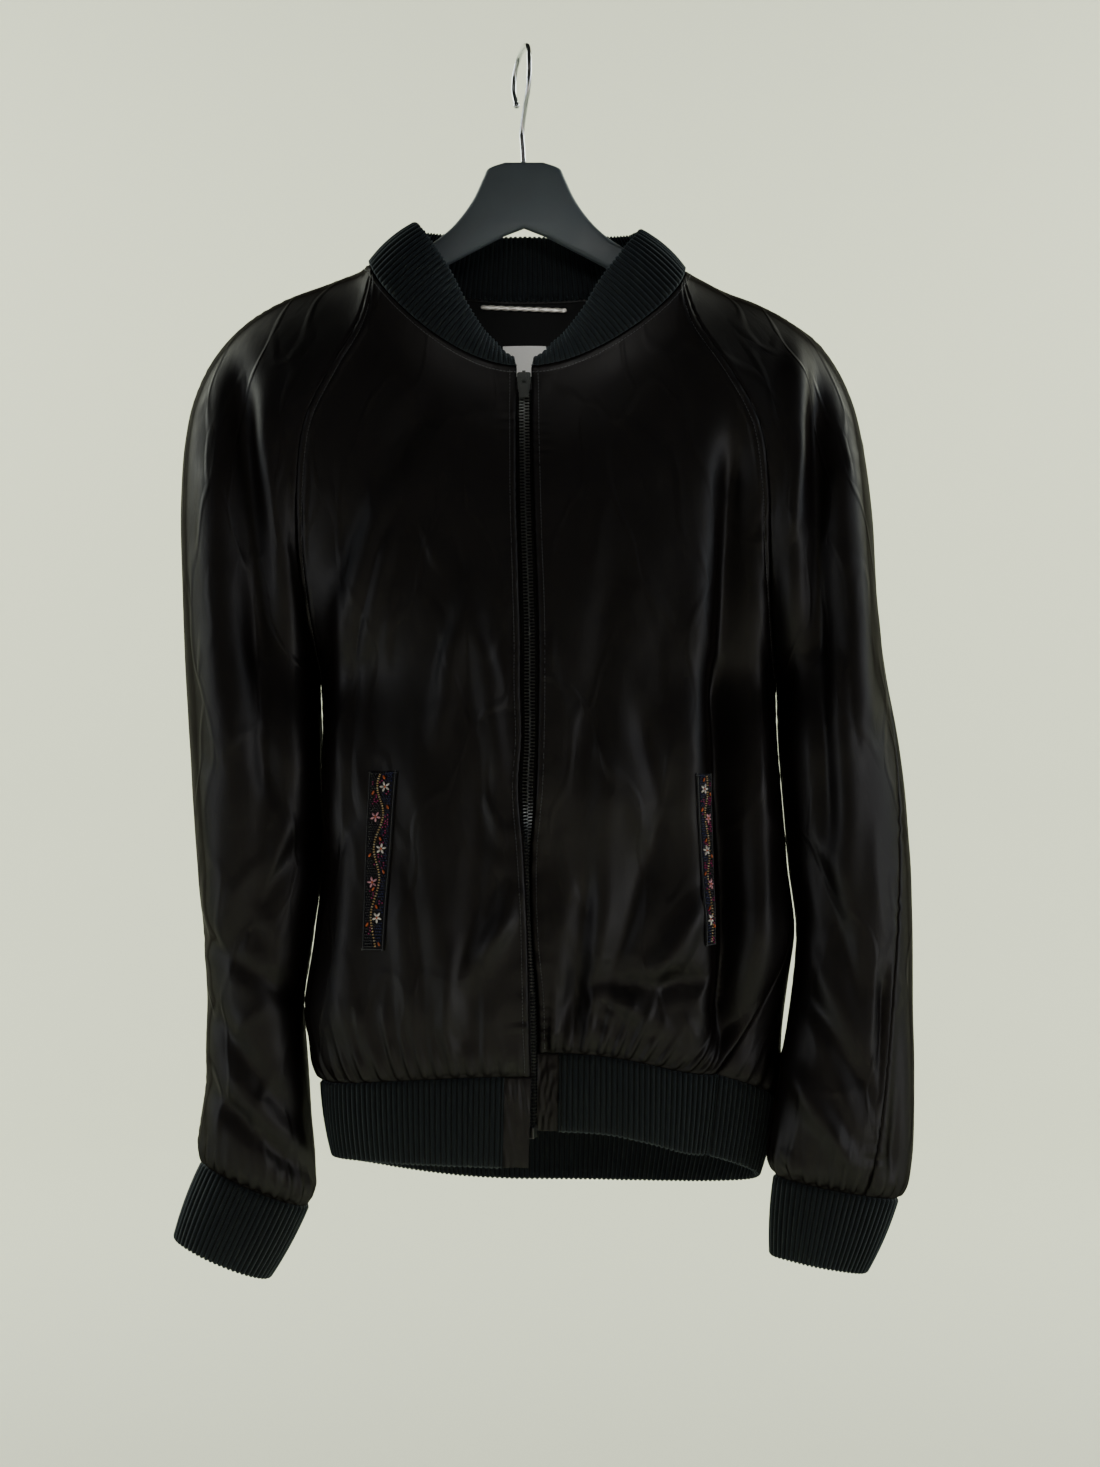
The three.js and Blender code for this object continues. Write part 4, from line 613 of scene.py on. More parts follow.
def satinPanel(name, levels, count):
    acrosses = np.linspace(0, 1, count)
    level, across = np.meshgrid(levels, acrosses, indexing="ij")
    turn = turnOf(name)
    isSleeve = name.startswith("sleeve")
    base = eased(baseCloth[name](level, across), levels, cuffRows if isSleeve else underarm, across)
    x, z = base[..., 0], base[..., 2]
    fromStart = lengths(base, 1)
    toEnd = fromStart[:, -1:] - fromStart
    height = lengths(base, 0)
    toTop = height[-1:] - height
    seed = minorCreases[name]["seed"] * 10

    # the large folds fade at the seams exactly as the solid's do
    fade = smooth(across / 0.09) * smooth((1 - across) / 0.09) * smooth(level / (1 if isSleeve else 1.2))
    lift = foldHeight(bigFolds[name], x, z) * fade
    nearSeam = np.minimum(fromStart if not name.startswith("front") else fromStart + 4, toEnd)
    fineFade = smooth(nearSeam / 9) * smooth(toTop / 16) * smooth((height + 2) / 12)
    small = creaseHeight(handCreases[name], x, z)
    slight = randomCreases(lengths=(35, 120), rises=(0.12, 0.5), widths=(2.4, 7), **minorCreases[name])
    small += creaseHeight(slight, x, z)
    small += satinSheet["wrinkle"] * wander(seed, x * 1.6, z, satinSheet["wrinkleSize"])
    lift += small * fineFade

    hem = fromStart[:1] + 0 * fromStart
    if isSleeve:
        place = hem if name.startswith("sleeve_front") else hem + 400
        lift += gathered(cuffGathers, seed + 3, place, height) * smooth(np.minimum(fromStart, toEnd) / 5)
    else:
        sideFade = smooth((toEnd if name.startswith("front") else np.minimum(fromStart, toEnd)) / 6)
        zipFade = smooth(fromStart / 12) if name.startswith("front") else 1
        lift += gathered(hemGathers, seed + 3, hem, height) * sideFade * zipFade

    # puckers along the sewn seams
    lift += puckered(seamPucker, seed + 5, height, toEnd) * smooth(toTop / 20)
    if name.startswith("front"):
        endFade = smooth(toTop / 30) * smooth(height / 15)
        lift += puckered(placketPucker, seed + 7, height, fromStart + 1) * endFade
    else:
        lift += puckered(seamPucker, seed + 6, height, fromStart) * smooth(toTop / 20)
    lift += puckered(seamPucker, seed + 8, fromStart, toTop)
    if name.endswith("_l") and isSleeve:
        overarm = toEnd if name.startswith("sleeve_front") else fromStart
        endFade = smooth((320 - height) / 60) * smooth(height / 20)
        lift += puckered(overarmPucker, 77, height, overarm + 1) * endFade

    # topstitched seams: a soft roll beside the seam, and a groove where the thread pulls the cloth down
    uneven = 1 + 0.45 * wander(seed + 9, x, z, 14)
    roll, sewn = np.exp(-(((toTop - 3.2) / 1.8) ** 2)), np.exp(-(((toTop - 5.5) / 0.9) ** 2))
    lift += (topBands["collar"] * roll - 0.35 * sewn) * uneven
    if not isSleeve:
        raglanBand = smooth((level - underarm) / 0.6)
        for away in [toEnd] + ([fromStart] if name == "back" else []):
            ridges = np.exp(-(((away - 2.4) / 1.6) ** 2)) + np.exp(-(((away - 7.2) / 1.8) ** 2))
            roll = topBands["raglan"] * ridges
            lift += (roll - 0.4 * np.exp(-(((away - 4.6) / 0.9) ** 2))) * uneven * raglanBand
    if name.startswith("front"):
        roll, sewn = np.exp(-(((fromStart - 2.6) / 1.6) ** 2)), np.exp(-(((fromStart - 5) / 0.9) ** 2))
        lift += (topBands["zip"] * roll - 0.35 * sewn) * uneven

    shaped = base + gridNormals(base, turn) * lift[..., None]
    normal = gridNormals(shaped, turn)
    isZipEdge = name.startswith("front")
    groove = smooth(np.minimum(toEnd, 99 if isZipEdge else fromStart) / satinSheet["grooveWidth"])
    groove = np.minimum(groove, smooth(toTop / satinSheet["grooveWidth"]))
    face = satinFace - satinSheet["grooveDepth"] * (1 - groove)
    if isZipEdge:  # the folded edge beside the zip rolls under
        face = face - 1.5 * (1 - np.sqrt(1 - (1 - np.clip(fromStart / 1.6, 0, 1)) ** 2))
    points = shaped + normal * face[..., None]
    uv = np.stack([fromStart, height], -1)
    piece = clothMesh(name + "_cloth", points, turn, uv)
    wall = piece.modifiers.new("wall", "SOLIDIFY")
    wall.thickness, wall.offset = satinSheet["thickness"] * mm, -1
    applied(piece)
    panels[name] = {"levels": levels, "acrosses": acrosses, "points": points, "turn": turn,
                    "normals": gridNormals(points, turn), "fromStart": fromStart, "height": height}
    flat = (float(fromStart[:, -1].max()) * mm, float(height[-1].max()) * mm)
    cells = np.cross(np.diff(base, axis=0)[:, :-1], np.diff(base, axis=1)[:-1])
    area = float(np.linalg.norm(cells, axis=-1).sum()) * mm**2
    return piece, flat, area


def onPanel(name, level, across):
    # places on a finished panel, with the way out of its face
    panel = panels[name]
    i = np.interp(level, panel["levels"], np.arange(len(panel["levels"])))
    j = np.interp(across, panel["acrosses"], np.arange(len(panel["acrosses"])))
    i0 = np.minimum(i.astype(int), len(panel["levels"]) - 2)
    j0 = np.minimum(j.astype(int), len(panel["acrosses"]) - 2)
    fi, fj = (i - i0)[..., None], (j - j0)[..., None]
    result = []
    for grid in (panel["points"], panel["normals"]):
        lowSide = mix(grid[i0, j0], grid[i0, j0 + 1], fj)
        highSide = mix(grid[i0 + 1, j0], grid[i0 + 1, j0 + 1], fj)
        result.append(mix(lowSide, highSide, fi))
    return result[0], unit(result[1])


bodyLevels = np.concatenate([np.linspace(0, 1, 26)[:-1], np.linspace(1, bodyTop, 128)])
sleeveLevels = np.concatenate([np.linspace(0, 1.3, 22)[:-1], np.linspace(1.3, sleeveTop, 150)])
satinPieces = {}
for side in "rl":
    satinPieces["front_" + side] = satinPanel("front_" + side, bodyLevels, 130)
    for part in ("front", "back"):
        satinPieces[f"sleeve_{part}_{side}"] = satinPanel(f"sleeve_{part}_{side}", sleeveLevels, 84)
satinPieces["back"] = satinPanel("back", bodyLevels, 196)
print("satin panels made")


# materials
def node(tree, kind, inputs=(), **settings):
    # adds a node with its settings; an input takes a value or another node's output
    made = tree.nodes.new(kind)
    for name, value in settings.items():
        setattr(made, name, value)
    for socket, value in dict(inputs).items():
        if isinstance(value, bpy.types.NodeSocket):
            tree.links.new(value, made.inputs[socket])
        else:
            made.inputs[socket].default_value = value
    return made


def newMaterial(name):
    material = bpy.data.materials.new(name)
    material.use_nodes = True
    tree = material.node_tree
    tree.nodes.clear()
    return material, tree


def finishMaterial(tree, shader):
    output = node(tree, "ShaderNodeOutputMaterial")
    tree.links.new(shader.outputs[0], output.inputs[0])


def silkSatin():
    # silk satin, woven with long floating warp threads: smooth, soft broad gloss, faint lengthwise threads
    material, tree = newMaterial("blackSilkSatin")
    uv = node(tree, "ShaderNodeUVMap", uv_map="cloth").outputs[0]
    # threads are 0.1 mm apart; drawn 0.9 mm apart so that they show
    threads = node(tree, "ShaderNodeMapping", {0: uv, 3: (1 / 0.0009, 1 / 0.05, 1)}).outputs[0]
    fine = node(tree, "ShaderNodeTexNoise", {
        "Vector": threads, "Scale": 1.0, "Detail": 2.0, "Roughness": 0.6}).outputs[0]
    # slubs and handling marks 15 to 40 mm across
    soft = node(tree, "ShaderNodeMapping", {0: uv, 3: (55, 30, 1)}).outputs[0]
    marks = node(tree, "ShaderNodeTexNoise", {
        "Vector": soft, "Scale": 1.0, "Detail": 4.0, "Roughness": 0.55, "Distortion": 0.6}).outputs[0]
    rough = node(tree, "ShaderNodeMapRange", {0: marks, 1: 0.3, 2: 0.7, 3: 0.44, 4: 0.54}).outputs[0]
    colour = node(tree, "ShaderNodeMix", {0: marks, 6: srgb("#0c0a0a"), 7: srgb("#130f0f")},
        data_type="RGBA").outputs[2]
    # crisp fold lines left from storage, in a loose net of 45 by 110 mm
    bent = node(tree, "ShaderNodeMapping", {0: uv, 2: (0, 0, 0.35), 3: (22, 9, 1)}).outputs[0]
    sway = node(tree, "ShaderNodeTexNoise", {"Vector": bent, "Scale": 1.2, "Detail": 1.0}).outputs[1]
    swayed = node(tree, "ShaderNodeVectorMath", {0: bent, 1: sway}, operation="ADD").outputs[0]
    net = node(tree, "ShaderNodeTexVoronoi", {"Vector": swayed, "Scale": 1.0},
        feature="DISTANCE_TO_EDGE").outputs[0]
    fold = node(tree, "ShaderNodeMapRange", {0: net, 1: 0.0, 2: 0.09, 3: 1.0, 4: 0.0},
        interpolation_type="SMOOTHSTEP").outputs[0]
    bump = node(tree, "ShaderNodeBump", {"Strength": 0.25, "Distance": 0.00012, "Height": fine}).outputs[0]
    crinkle = node(tree, "ShaderNodeBump", {
        "Strength": 0.7, "Distance": 0.0004, "Height": marks, "Normal": bump}).outputs[0]
    folded = node(tree, "ShaderNodeBump", {
        "Strength": 0.5, "Distance": 0.0006, "Height": fold, "Normal": crinkle}).outputs[0]
    # the gloss fades towards glancing angles, so that the rim doesn't mirror the bright backdrop
    glance = node(tree, "ShaderNodeLayerWeight", {"Blend": 0.5}).outputs["Facing"]
    gloss = node(tree, "ShaderNodeMapRange", {0: glance, 1: 0.12, 2: 0.62, 3: 0.44, 4: 0.01}).outputs[0]
    shader = node(tree, "ShaderNodeBsdfPrincipled", {
        "Base Color": colour, "Roughness": rough, "Normal": folded, "IOR": 1.45, "Specular IOR Level": gloss,
        "Sheen Weight": 0.03, "Sheen Roughness": 0.4, "Sheen Tint": srgb("#b8a89c")})
    finishMaterial(tree, shader)
    return material


satin = silkSatin()
for name, (piece, flat, area) in satinPieces.items():
    settle(piece, "jacket", satin, "satin", name)
print("satin material set")


# lines where the knit ribs are sewn on: panel, from, to, and the panel's own places there
neckline = [("front_r", 0, 1, 0, 1), ("sleeve_front_r", 1, 1.5, 0, 1),
    ("sleeve_back_r", 1.5, 2, 0, 1), ("back", 2, 3, 0, 1),
            ("sleeve_back_l", 3, 3.5, 1, 0), ("sleeve_front_l", 3.5, 4, 1, 0), ("front_l", 4, 5, 1, 0)]
hemline = [("front_r", 0, 1, 0, 1), ("back", 1, 2, 0, 1), ("front_l", 2, 3, 1, 0)]
cufflines = {side: [("sleeve_front_" + side, 0, 1, 0, 1), ("sleeve_back_" + side, 1, 2, 0, 1)]
             for side in "rl"}


def sewnLine(line, top, closed=False):
    places, points, normals = [], [], []
    for name, start, end, first, last in line:
        highest = sleeveTop if name.startswith("sleeve") else bodyTop
        levels = np.array([highest - 0.04, highest] if top else [0, 0.04])
        f = np.linspace(0, 1, 81)
        level, across = np.meshgrid(levels, mix(first, last, f), indexing="ij")
        grid = baseCloth[name](level, across)
        row = -1 if top else 0
        normal = gridNormals(grid, turnOf(name) * (1 if last > first else -1))[row]
        if places:
            normals[-1][-1] = unit(normals[-1][-1] + normal[0])
            f, grid, normal = f[1:], grid[:, 1:], normal[1:]
        places.append(mix(start, end, f))
        points.append(grid[row])
        normals.append(normal)
    places, points, normals = np.concatenate(places), np.concatenate(points), np.concatenate(normals)
    if closed:
        normals[0] = normals[-1] = unit(normals[0] + normals[-1])
    arc = np.append(0, np.cumsum(np.linalg.norm(np.diff(points, axis=0), axis=-1)))
    return {"places": places, "points": points, "normals": normals, "arc": arc, "closed": closed}


def arcAt(line, place):
    return float(np.interp(place, line["places"], line["arc"]))


def pointsAlong(line, arc, values):
    return np.stack([np.interp(arc, line["arc"], values[:, k]) for k in range(3)], -1)


def lineAt(line, arc):
    points = pointsAlong(line, arc, line["points"])
    normals = unit(pointsAlong(line, arc, line["normals"]))
    step = 1.0
    if line["closed"]:
        total = line["arc"][-1]
        ends = [pointsAlong(line, (arc + d) % total, line["points"]) for d in (-step, step)]
    else:
        ends = [pointsAlong(line, arc + d, line["points"]) for d in (-step, step)]
    return np.interp(arc, line["arc"], line["places"]), points, normals, unit(ends[1] - ends[0])


# collar's rise from the neckline, front edge to centre back, and the waistband's fall from the hem
collarRise = columns("place inwards aft up", [
    [0, -3, 1, 6], [0.12, 1, 3, 15], [0.35, 16, 5, 22], [0.6, 30, 7, 31], [0.85, 35, 7, 33], [1, 34, 5, 31],
    [1.5, 31, 0, 30], [2, 22, -2, 37], [2.2, 10, -2, 43], [2.5, 0, -1, 48],
])

bandFall = columns("place inwards aft up", [
    [0, -2, 5, -66], [0.4, 1, 6, -60], [0.8, 4, 6, -55], [1, 7, 3, -55],
    [1.2, 12, -2, -56], [1.5, 0, -7, -58],
    [1.8, 14, -3, -55], [2, 6, 4, -58], [2.4, 1, 5, -57], [2.7, 0, 5, -56], [3, 1, 5, -57],
])

cuffFall = {"r": ((-25, 2, -55), 0.9), "l": ((-11, 2, -56), 0.77)}


def collarReach(place, points):
    row = atPlace(collarRise, "place", np.where(place <= 2.5, place, 5 - place))
    return vec(np.where(place <= 2.5, row["inwards"], -row["inwards"]), row["aft"], row["up"])


def bandReach(place, points):
    row = atPlace(bandFall, "place", place)
    return vec(np.where(place <= 1.5, row["inwards"], -row["inwards"]), row["aft"], row["up"])


def cuffReach(side):
    line = sewnLine(cufflines[side], False)
    around = np.linspace(0, 2, 24)[:-1]
    centre = np.stack([np.interp(around, line["places"], line["points"][:, k]) for k in range(3)], -1).mean(0)
    axis, lowerWidth = cuffFall[side]
    return lambda place, points: np.array(axis) + (points - centre) * (lowerWidth - 1)


knitRib = {"pitch": 3.9, "height": 1.5, "columnsPerRib": 8, "outerRows": 15, "innerRows": 9, "roundRows": 4}


def ribTree(name):
    # raises rounded ribs along a piece that carries its place round the seam
    tree = bpy.data.node_groups.new(name, "GeometryNodeTree")
    tree.interface.new_socket("Geometry", in_out="INPUT", socket_type="NodeSocketGeometry")
    for title in ("ribPitch", "ribHeight"):
        tree.interface.new_socket(title, in_out="INPUT", socket_type="NodeSocketFloat")
    tree.interface.new_socket("yarn", in_out="INPUT", socket_type="NodeSocketMaterial")
    tree.interface.new_socket("Geometry", in_out="OUTPUT", socket_type="NodeSocketGeometry")
    given = node(tree, "NodeGroupInput").outputs
    place = node(tree, "GeometryNodeInputNamedAttribute", {"Name": "ribPlace"},
        data_type="FLOAT").outputs["Attribute"]
    share = node(tree, "GeometryNodeInputNamedAttribute", {"Name": "ribShare"},
        data_type="FLOAT").outputs["Attribute"]
    ribs = node(tree, "ShaderNodeMath", {0: place, 1: given["ribPitch"]}, operation="DIVIDE").outputs[0]
    turns = node(tree, "ShaderNodeMath", {0: ribs, 1: 2 * math.pi}, operation="MULTIPLY").outputs[0]
    wave = node(tree, "ShaderNodeMath", {0: turns}, operation="COSINE").outputs[0]
    raised = node(tree, "ShaderNodeMapRange", {0: wave, 1: -1.0, 2: 1.0, 3: 0.0, 4: 1.0}).outputs[0]
    rounded = node(tree, "ShaderNodeMath", {0: raised, 1: 0.55}, operation="POWER").outputs[0]
    sized = node(tree, "ShaderNodeMath", {0: rounded, 1: given["ribHeight"]}, operation="MULTIPLY").outputs[0]
    height = node(tree, "ShaderNodeMath", {0: sized, 1: share}, operation="MULTIPLY").outputs[0]
    normal = node(tree, "GeometryNodeInputNormal").outputs[0]
    offset = node(tree, "ShaderNodeVectorMath", {0: normal, "Scale": height}, operation="SCALE").outputs[0]
    moved = node(tree, "GeometryNodeSetPosition", {
        "Geometry": given["Geometry"], "Offset": offset}).outputs[0]
    real = node(tree, "GeometryNodeRealizeInstances", {"Geometry": moved}).outputs[0]
    dyed = node(tree, "GeometryNodeSetMaterial", {"Geometry": real, "Material": given["yarn"]}).outputs[0]
    node(tree, "NodeGroupOutput", {"Geometry": dyed})
    return tree


def runTree(piece, tree, **values):
    # sets a tree's named inputs by their identifiers, and keeps its result as a plain mesh
    modifier = piece.modifiers.new(tree.name, "NODES")
    modifier.node_group = tree
    for item in tree.interface.items_tree:
        if item.in_out == "INPUT" and item.name in values:
            modifier[item.identifier] = values[item.name]
    return applied(piece)


def ribTube(name, line, start, end, reach, bulge, shared=False, ribs=True, gap=0.15):
    closed = line["closed"]
    first, last = arcAt(line, start), arcAt(line, end)
    if not closed:
        first, last = first + gap, last - gap
    ribCount = max(1, round((last - first) / knitRib["pitch"]))
    count = ribCount * knitRib["columnsPerRib"] + (0 if closed else 1)
    arc = np.linspace(first, last, count, endpoint=not closed)
    place, point, panelNormal, run = lineAt(line, arc)
    fall = reach(place, point)
    out = unit(np.cross(run, fall))
    out = out * np.sign((out * panelNormal).sum(-1, keepdims=True))
    seamNormal = unit(out + panelNormal) if shared else panelNormal
    length = np.linalg.norm(fall, axis=-1, keepdims=True)
    limit = 1 - ribFace / length  # the folded edge is round
    thin = 0.35 if not shared else 0.5
    steps = [(0.0, thin, 0.0), (0.012, 0.85, 0.3)]
    steps += [(f, 1.0, 1.0) for f in np.linspace(0.035, 1, knitRib["outerRows"])]
    for angle in np.linspace(0, math.pi, knitRib["roundRows"] + 2)[1:-1]:
        steps.append((1.0, math.cos(angle), 0.8, math.sin(angle)))
    steps += [(f, -1.0, 0.8) for f in np.linspace(1, 0, knitRib["innerRows"])]
    rows, shares = [], []
    for drop, offset, share, *beyond in steps:
        base = point + fall * drop * limit + out * bulge * 4 * drop * (1 - drop)
        turned = smooth(drop * 3)
        normal = unit(mix(seamNormal, out, turned))
        row = base + normal * offset * ribFace
        if beyond:
            row = row + unit(fall) * beyond[0] * ribFace
        rows.append(row)
        shares.append(np.full(count, share))
    points = np.stack(rows)
    # uneven knitting: the wall waves a little, and the free edge more
    towardsEdge = np.array([s[0] for s in steps])[:, None, None]
    sway = 0.35 * wander(seedOf(name), arc, 0 * arc, 46)[None, :, None] * towardsEdge**2
    points = points + out[None] * sway
    if not ribs:  # the satin ends are a little crumpled by their sewing
        downwards = (length * np.array([s[0] for s in steps])[None])[..., None].swapaxes(0, 1)
        crumple = wander(seedOf(name) + 1, arc[None] * 1.6, downwards[..., 0], 9) * 0.5
        points = points + out[None] * (crumple * smooth(downwards[..., 0] / 6))[..., None]
    middle = len(points) // 4
    face = np.cross(np.gradient(points, axis=1), np.gradient(points, axis=0))[middle]
    turn = 1 if (face * out).sum() > 0 else -1
    acrossUv = np.append(arc, last) if closed else arc
    alongUv = np.append(lengths(points, 0).mean(1), lengths(points, 0).mean(1)[-1] + 2)
    uv = np.stack(np.meshgrid(acrossUv, alongUv), -1)
    piece = clothMesh(name + "_knit" if ribs else name + "_cloth", points, turn, uv, wrapRows=True,
        wrapAcross=closed, caps=not closed)
    if ribs:
        ribPlace = np.tile((arc - first) * ribCount * knitRib["pitch"] / (last - first), len(points))
        for title, values in (("ribPlace", ribPlace), ("ribShare", np.concatenate(shares))):
            layer = piece.data.attributes.new(title, "FLOAT", "POINT")
            layer.data.foreach_set("value", values.astype(np.float32))
        runTree(piece, ribbing, ribPitch=knitRib["pitch"], ribHeight=knitRib["height"] * mm, yarn=ribYarn)
    size = (float(last - first) * mm, float(2 * length.max()) * mm)
    ribShape[name] = {"points": points, "out": out, "arc": arc, "steps": steps}
    return piece, size


def seedOf(name):
    # the same number for a name on every run
    return sum((i + 1) * ord(c) for i, c in enumerate(name)) % 9973


ribShape = {}


def knitYarn():
    # black wool rib, knitted in fine stocking stitch: matt, a little fuzzy, rows of small V stitches
    material, tree = newMaterial("blackWoolRib")
    uv = node(tree, "ShaderNodeSeparateXYZ",
        {0: node(tree, "ShaderNodeUVMap", uv_map="cloth").outputs[0]}).outputs
    # stitches are 1.3 mm tall, and each rib is one pair of wales wide
    wales = node(tree, "ShaderNodeMath", {0: uv["X"], 1: 1 / (knitRib["pitch"] * mm)},
        operation="MULTIPLY").outputs[0]
    slant = node(tree, "ShaderNodeMath", {0: wales, 1: 0.5}, operation="PINGPONG").outputs[0]
    rows = node(tree, "ShaderNodeMath", {0: uv["Y"], 1: 1 / 0.0013, 2: 0.0},
        operation="MULTIPLY_ADD").outputs[0]
    tilted = node(tree, "ShaderNodeMath", {0: slant, 1: 1.6, 2: rows}, operation="MULTIPLY_ADD").outputs[0]
    stitches = node(tree, "ShaderNodeMath", {0: tilted, 1: 0.5}, operation="PINGPONG").outputs[0]
    place = node(tree, "ShaderNodeTexCoord").outputs["Object"]
    fuzz = node(tree, "ShaderNodeTexNoise", {"Vector": place, "Scale": 900.0, "Detail": 3.0}).outputs[0]
    wear = node(tree, "ShaderNodeTexNoise", {"Vector": place, "Scale": 35.0, "Detail": 2.0}).outputs[0]
    bump = node(tree, "ShaderNodeBump", {"Strength": 0.8, "Distance": 0.0004, "Height": stitches}).outputs[0]
    soft = node(tree, "ShaderNodeBump", {
        "Strength": 0.5, "Distance": 0.0003, "Height": fuzz, "Normal": bump}).outputs[0]
    # painted shade: the colour darkens to near black between two ribs, where little light reaches the yarn
    wale = node(tree, "ShaderNodeAttribute", attribute_name="ribPlace").outputs["Fac"]
    turns = node(tree, "ShaderNodeMath", {0: wale, 1: 2 * math.pi / knitRib["pitch"]},
        operation="MULTIPLY").outputs[0]
    wave = node(tree, "ShaderNodeMath", {0: turns}, operation="COSINE").outputs[0]
    depth = node(tree, "ShaderNodeMapRange", {0: wave, 1: -0.9, 2: 0.2},
        interpolation_type="SMOOTHSTEP").outputs[0]
    face = node(tree, "ShaderNodeMix", {0: wear, 6: srgb("#080d11"), 7: srgb("#0e181d")},
        data_type="RGBA").outputs[2]
    colour = node(tree, "ShaderNodeMix", {0: depth, 6: srgb("#010203"), 7: face}, data_type="RGBA").outputs[2]
    shader = node(tree, "ShaderNodeBsdfPrincipled", {
        "Base Color": colour, "Roughness": 0.85, "Normal": soft, "Specular IOR Level": 0.3,
        "Sheen Weight": 0.35, "Sheen Roughness": 0.55, "Sheen Tint": srgb("#9fb2ba")})
    finishMaterial(tree, shader)
    return material


ribYarn = knitYarn()
ribbing = ribTree("ribbing")
neck, hem = sewnLine(neckline, True), sewnLine(hemline, False)
cuffs = {side: sewnLine(cufflines[side], False, closed=True) for side in "rl"}
tabWidth = {"r": 19, "l": 15}
tabEnd = {"r": float(np.interp(arcAt(hem, 0) + tabWidth["r"], hem["arc"], hem["places"])),
          "l": float(np.interp(arcAt(hem, 3) - tabWidth["l"], hem["arc"], hem["places"]))}
ribPieces = {
    "collar": ribTube("collar", neck, 0, 5, collarReach, 2.5, shared=True, gap=0),
    "band_front_r": ribTube("band_front_r", hem, tabEnd["r"], 1, bandReach, 1.5),
    "band_back": ribTube("band_back", hem, 1, 2, bandReach, 1.5),
    "band_front_l": ribTube("band_front_l", hem, 2, tabEnd["l"], bandReach, 1.5),
    "cuff_r": ribTube("cuff_r", cuffs["r"], 0, 2, cuffReach("r"), 1.5),
    "cuff_l": ribTube("cuff_l", cuffs["l"], 0, 2, cuffReach("l"), 1.5),
}
for name, (piece, flat) in ribPieces.items():
    settle(piece, "jacket", ribYarn, "rib_knit", name)
for name, start, end in (("tab_r", 0, tabEnd["r"]), ("tab_l", tabEnd["l"], 3)):
    piece, flat = ribTube(name, hem, start, end, bandReach, 1.5, ribs=False)
    settle(piece, "jacket", satin, "satin", name)
print("knit ribs made")


# small repeats that follow a path or sit on points
def repeatTree(name, alongPath):
    # sets a small shape along a path, or on points; each point says which way is out and how it lies
    tree = bpy.data.node_groups.new(name, "GeometryNodeTree")
    tree.interface.new_socket("Geometry", in_out="INPUT", socket_type="NodeSocketGeometry")
    tree.interface.new_socket("pitch", in_out="INPUT", socket_type="NodeSocketFloat")
    tree.interface.new_socket("shape", in_out="INPUT", socket_type="NodeSocketObject")
    tree.interface.new_socket("finish", in_out="INPUT", socket_type="NodeSocketMaterial")
    tree.interface.new_socket("Geometry", in_out="OUTPUT", socket_type="NodeSocketGeometry")
    given = node(tree, "NodeGroupInput").outputs
    outwards = node(tree, "GeometryNodeInputNamedAttribute", {"Name": "outwards"},
        data_type="FLOAT_VECTOR").outputs["Attribute"]
    if alongPath:
        path = node(tree, "GeometryNodeMeshToCurve", {0: given["Geometry"]}).outputs[0]
        points = node(tree, "GeometryNodeResampleCurve", {"Curve": path, "Length": given["pitch"]},
            mode="LENGTH").outputs[0]
        lie = node(tree, "GeometryNodeInputTangent").outputs[0]
        grow = (1, 1, 1)
    else:
        points = given["Geometry"]
        lie = node(tree, "GeometryNodeInputNamedAttribute", {"Name": "lie"},
            data_type="FLOAT_VECTOR").outputs["Attribute"]
        grow = node(tree, "GeometryNodeInputNamedAttribute", {"Name": "grow"},
            data_type="FLOAT").outputs["Attribute"]
    facing = node(tree, "FunctionNodeAlignRotationToVector", {"Vector": outwards}, axis="Z").outputs[0]
    turned = node(tree, "FunctionNodeAlignRotationToVector", {"Rotation": facing, "Vector": lie}, axis="X",
        pivot_axis="Z").outputs[0]
    shape = node(tree, "GeometryNodeObjectInfo", {"Object": given["shape"]}).outputs["Geometry"]
    placed = node(tree, "GeometryNodeInstanceOnPoints", {
        "Points": points, "Instance": shape, "Rotation": turned, "Scale": grow}).outputs[0]
    real = node(tree, "GeometryNodeRealizeInstances", {"Geometry": placed}).outputs[0]
    made = node(tree, "GeometryNodeSetMaterial", {"Geometry": real, "Material": given["finish"]}).outputs[0]
    node(tree, "NodeGroupOutput", {"Geometry": made})
    return tree


followPath, onPoints = repeatTree("followPath", True), repeatTree("onPoints", False)


def carrier(name, points, edges=(), **attributes):
    # bare points or paths that carry where a repeat goes
    mesh = bpy.data.meshes.new(name)
    mesh.from_pydata((points * mm).tolist(), list(edges), [])
    for title, values in attributes.items():
        kind = {1: "FLOAT", 3: "FLOAT_VECTOR", 4: "FLOAT_COLOR"}[1 if values.ndim == 1 else values.shape[1]]
        layer = mesh.attributes.new(title, kind, "POINT")
        layer.data.foreach_set({"FLOAT": "value", "FLOAT_VECTOR": "vector", "FLOAT_COLOR": "color"}[kind],
                               values.astype(np.float32).ravel())
    piece = bpy.data.objects.new(name, mesh)
    bpy.context.scene.collection.objects.link(piece)
    return piece


def pathCarrier(name, paths):
    points, outwards, edges = [], [], []
    for path, out in paths:
        start = sum(len(p) for p in points)
        edges += [(start + i, start + i + 1) for i in range(len(path) - 1)]
        points.append(path)
        outwards.append(out)
    return carrier(name, np.concatenate(points), edges, outwards=np.concatenate(outwards))


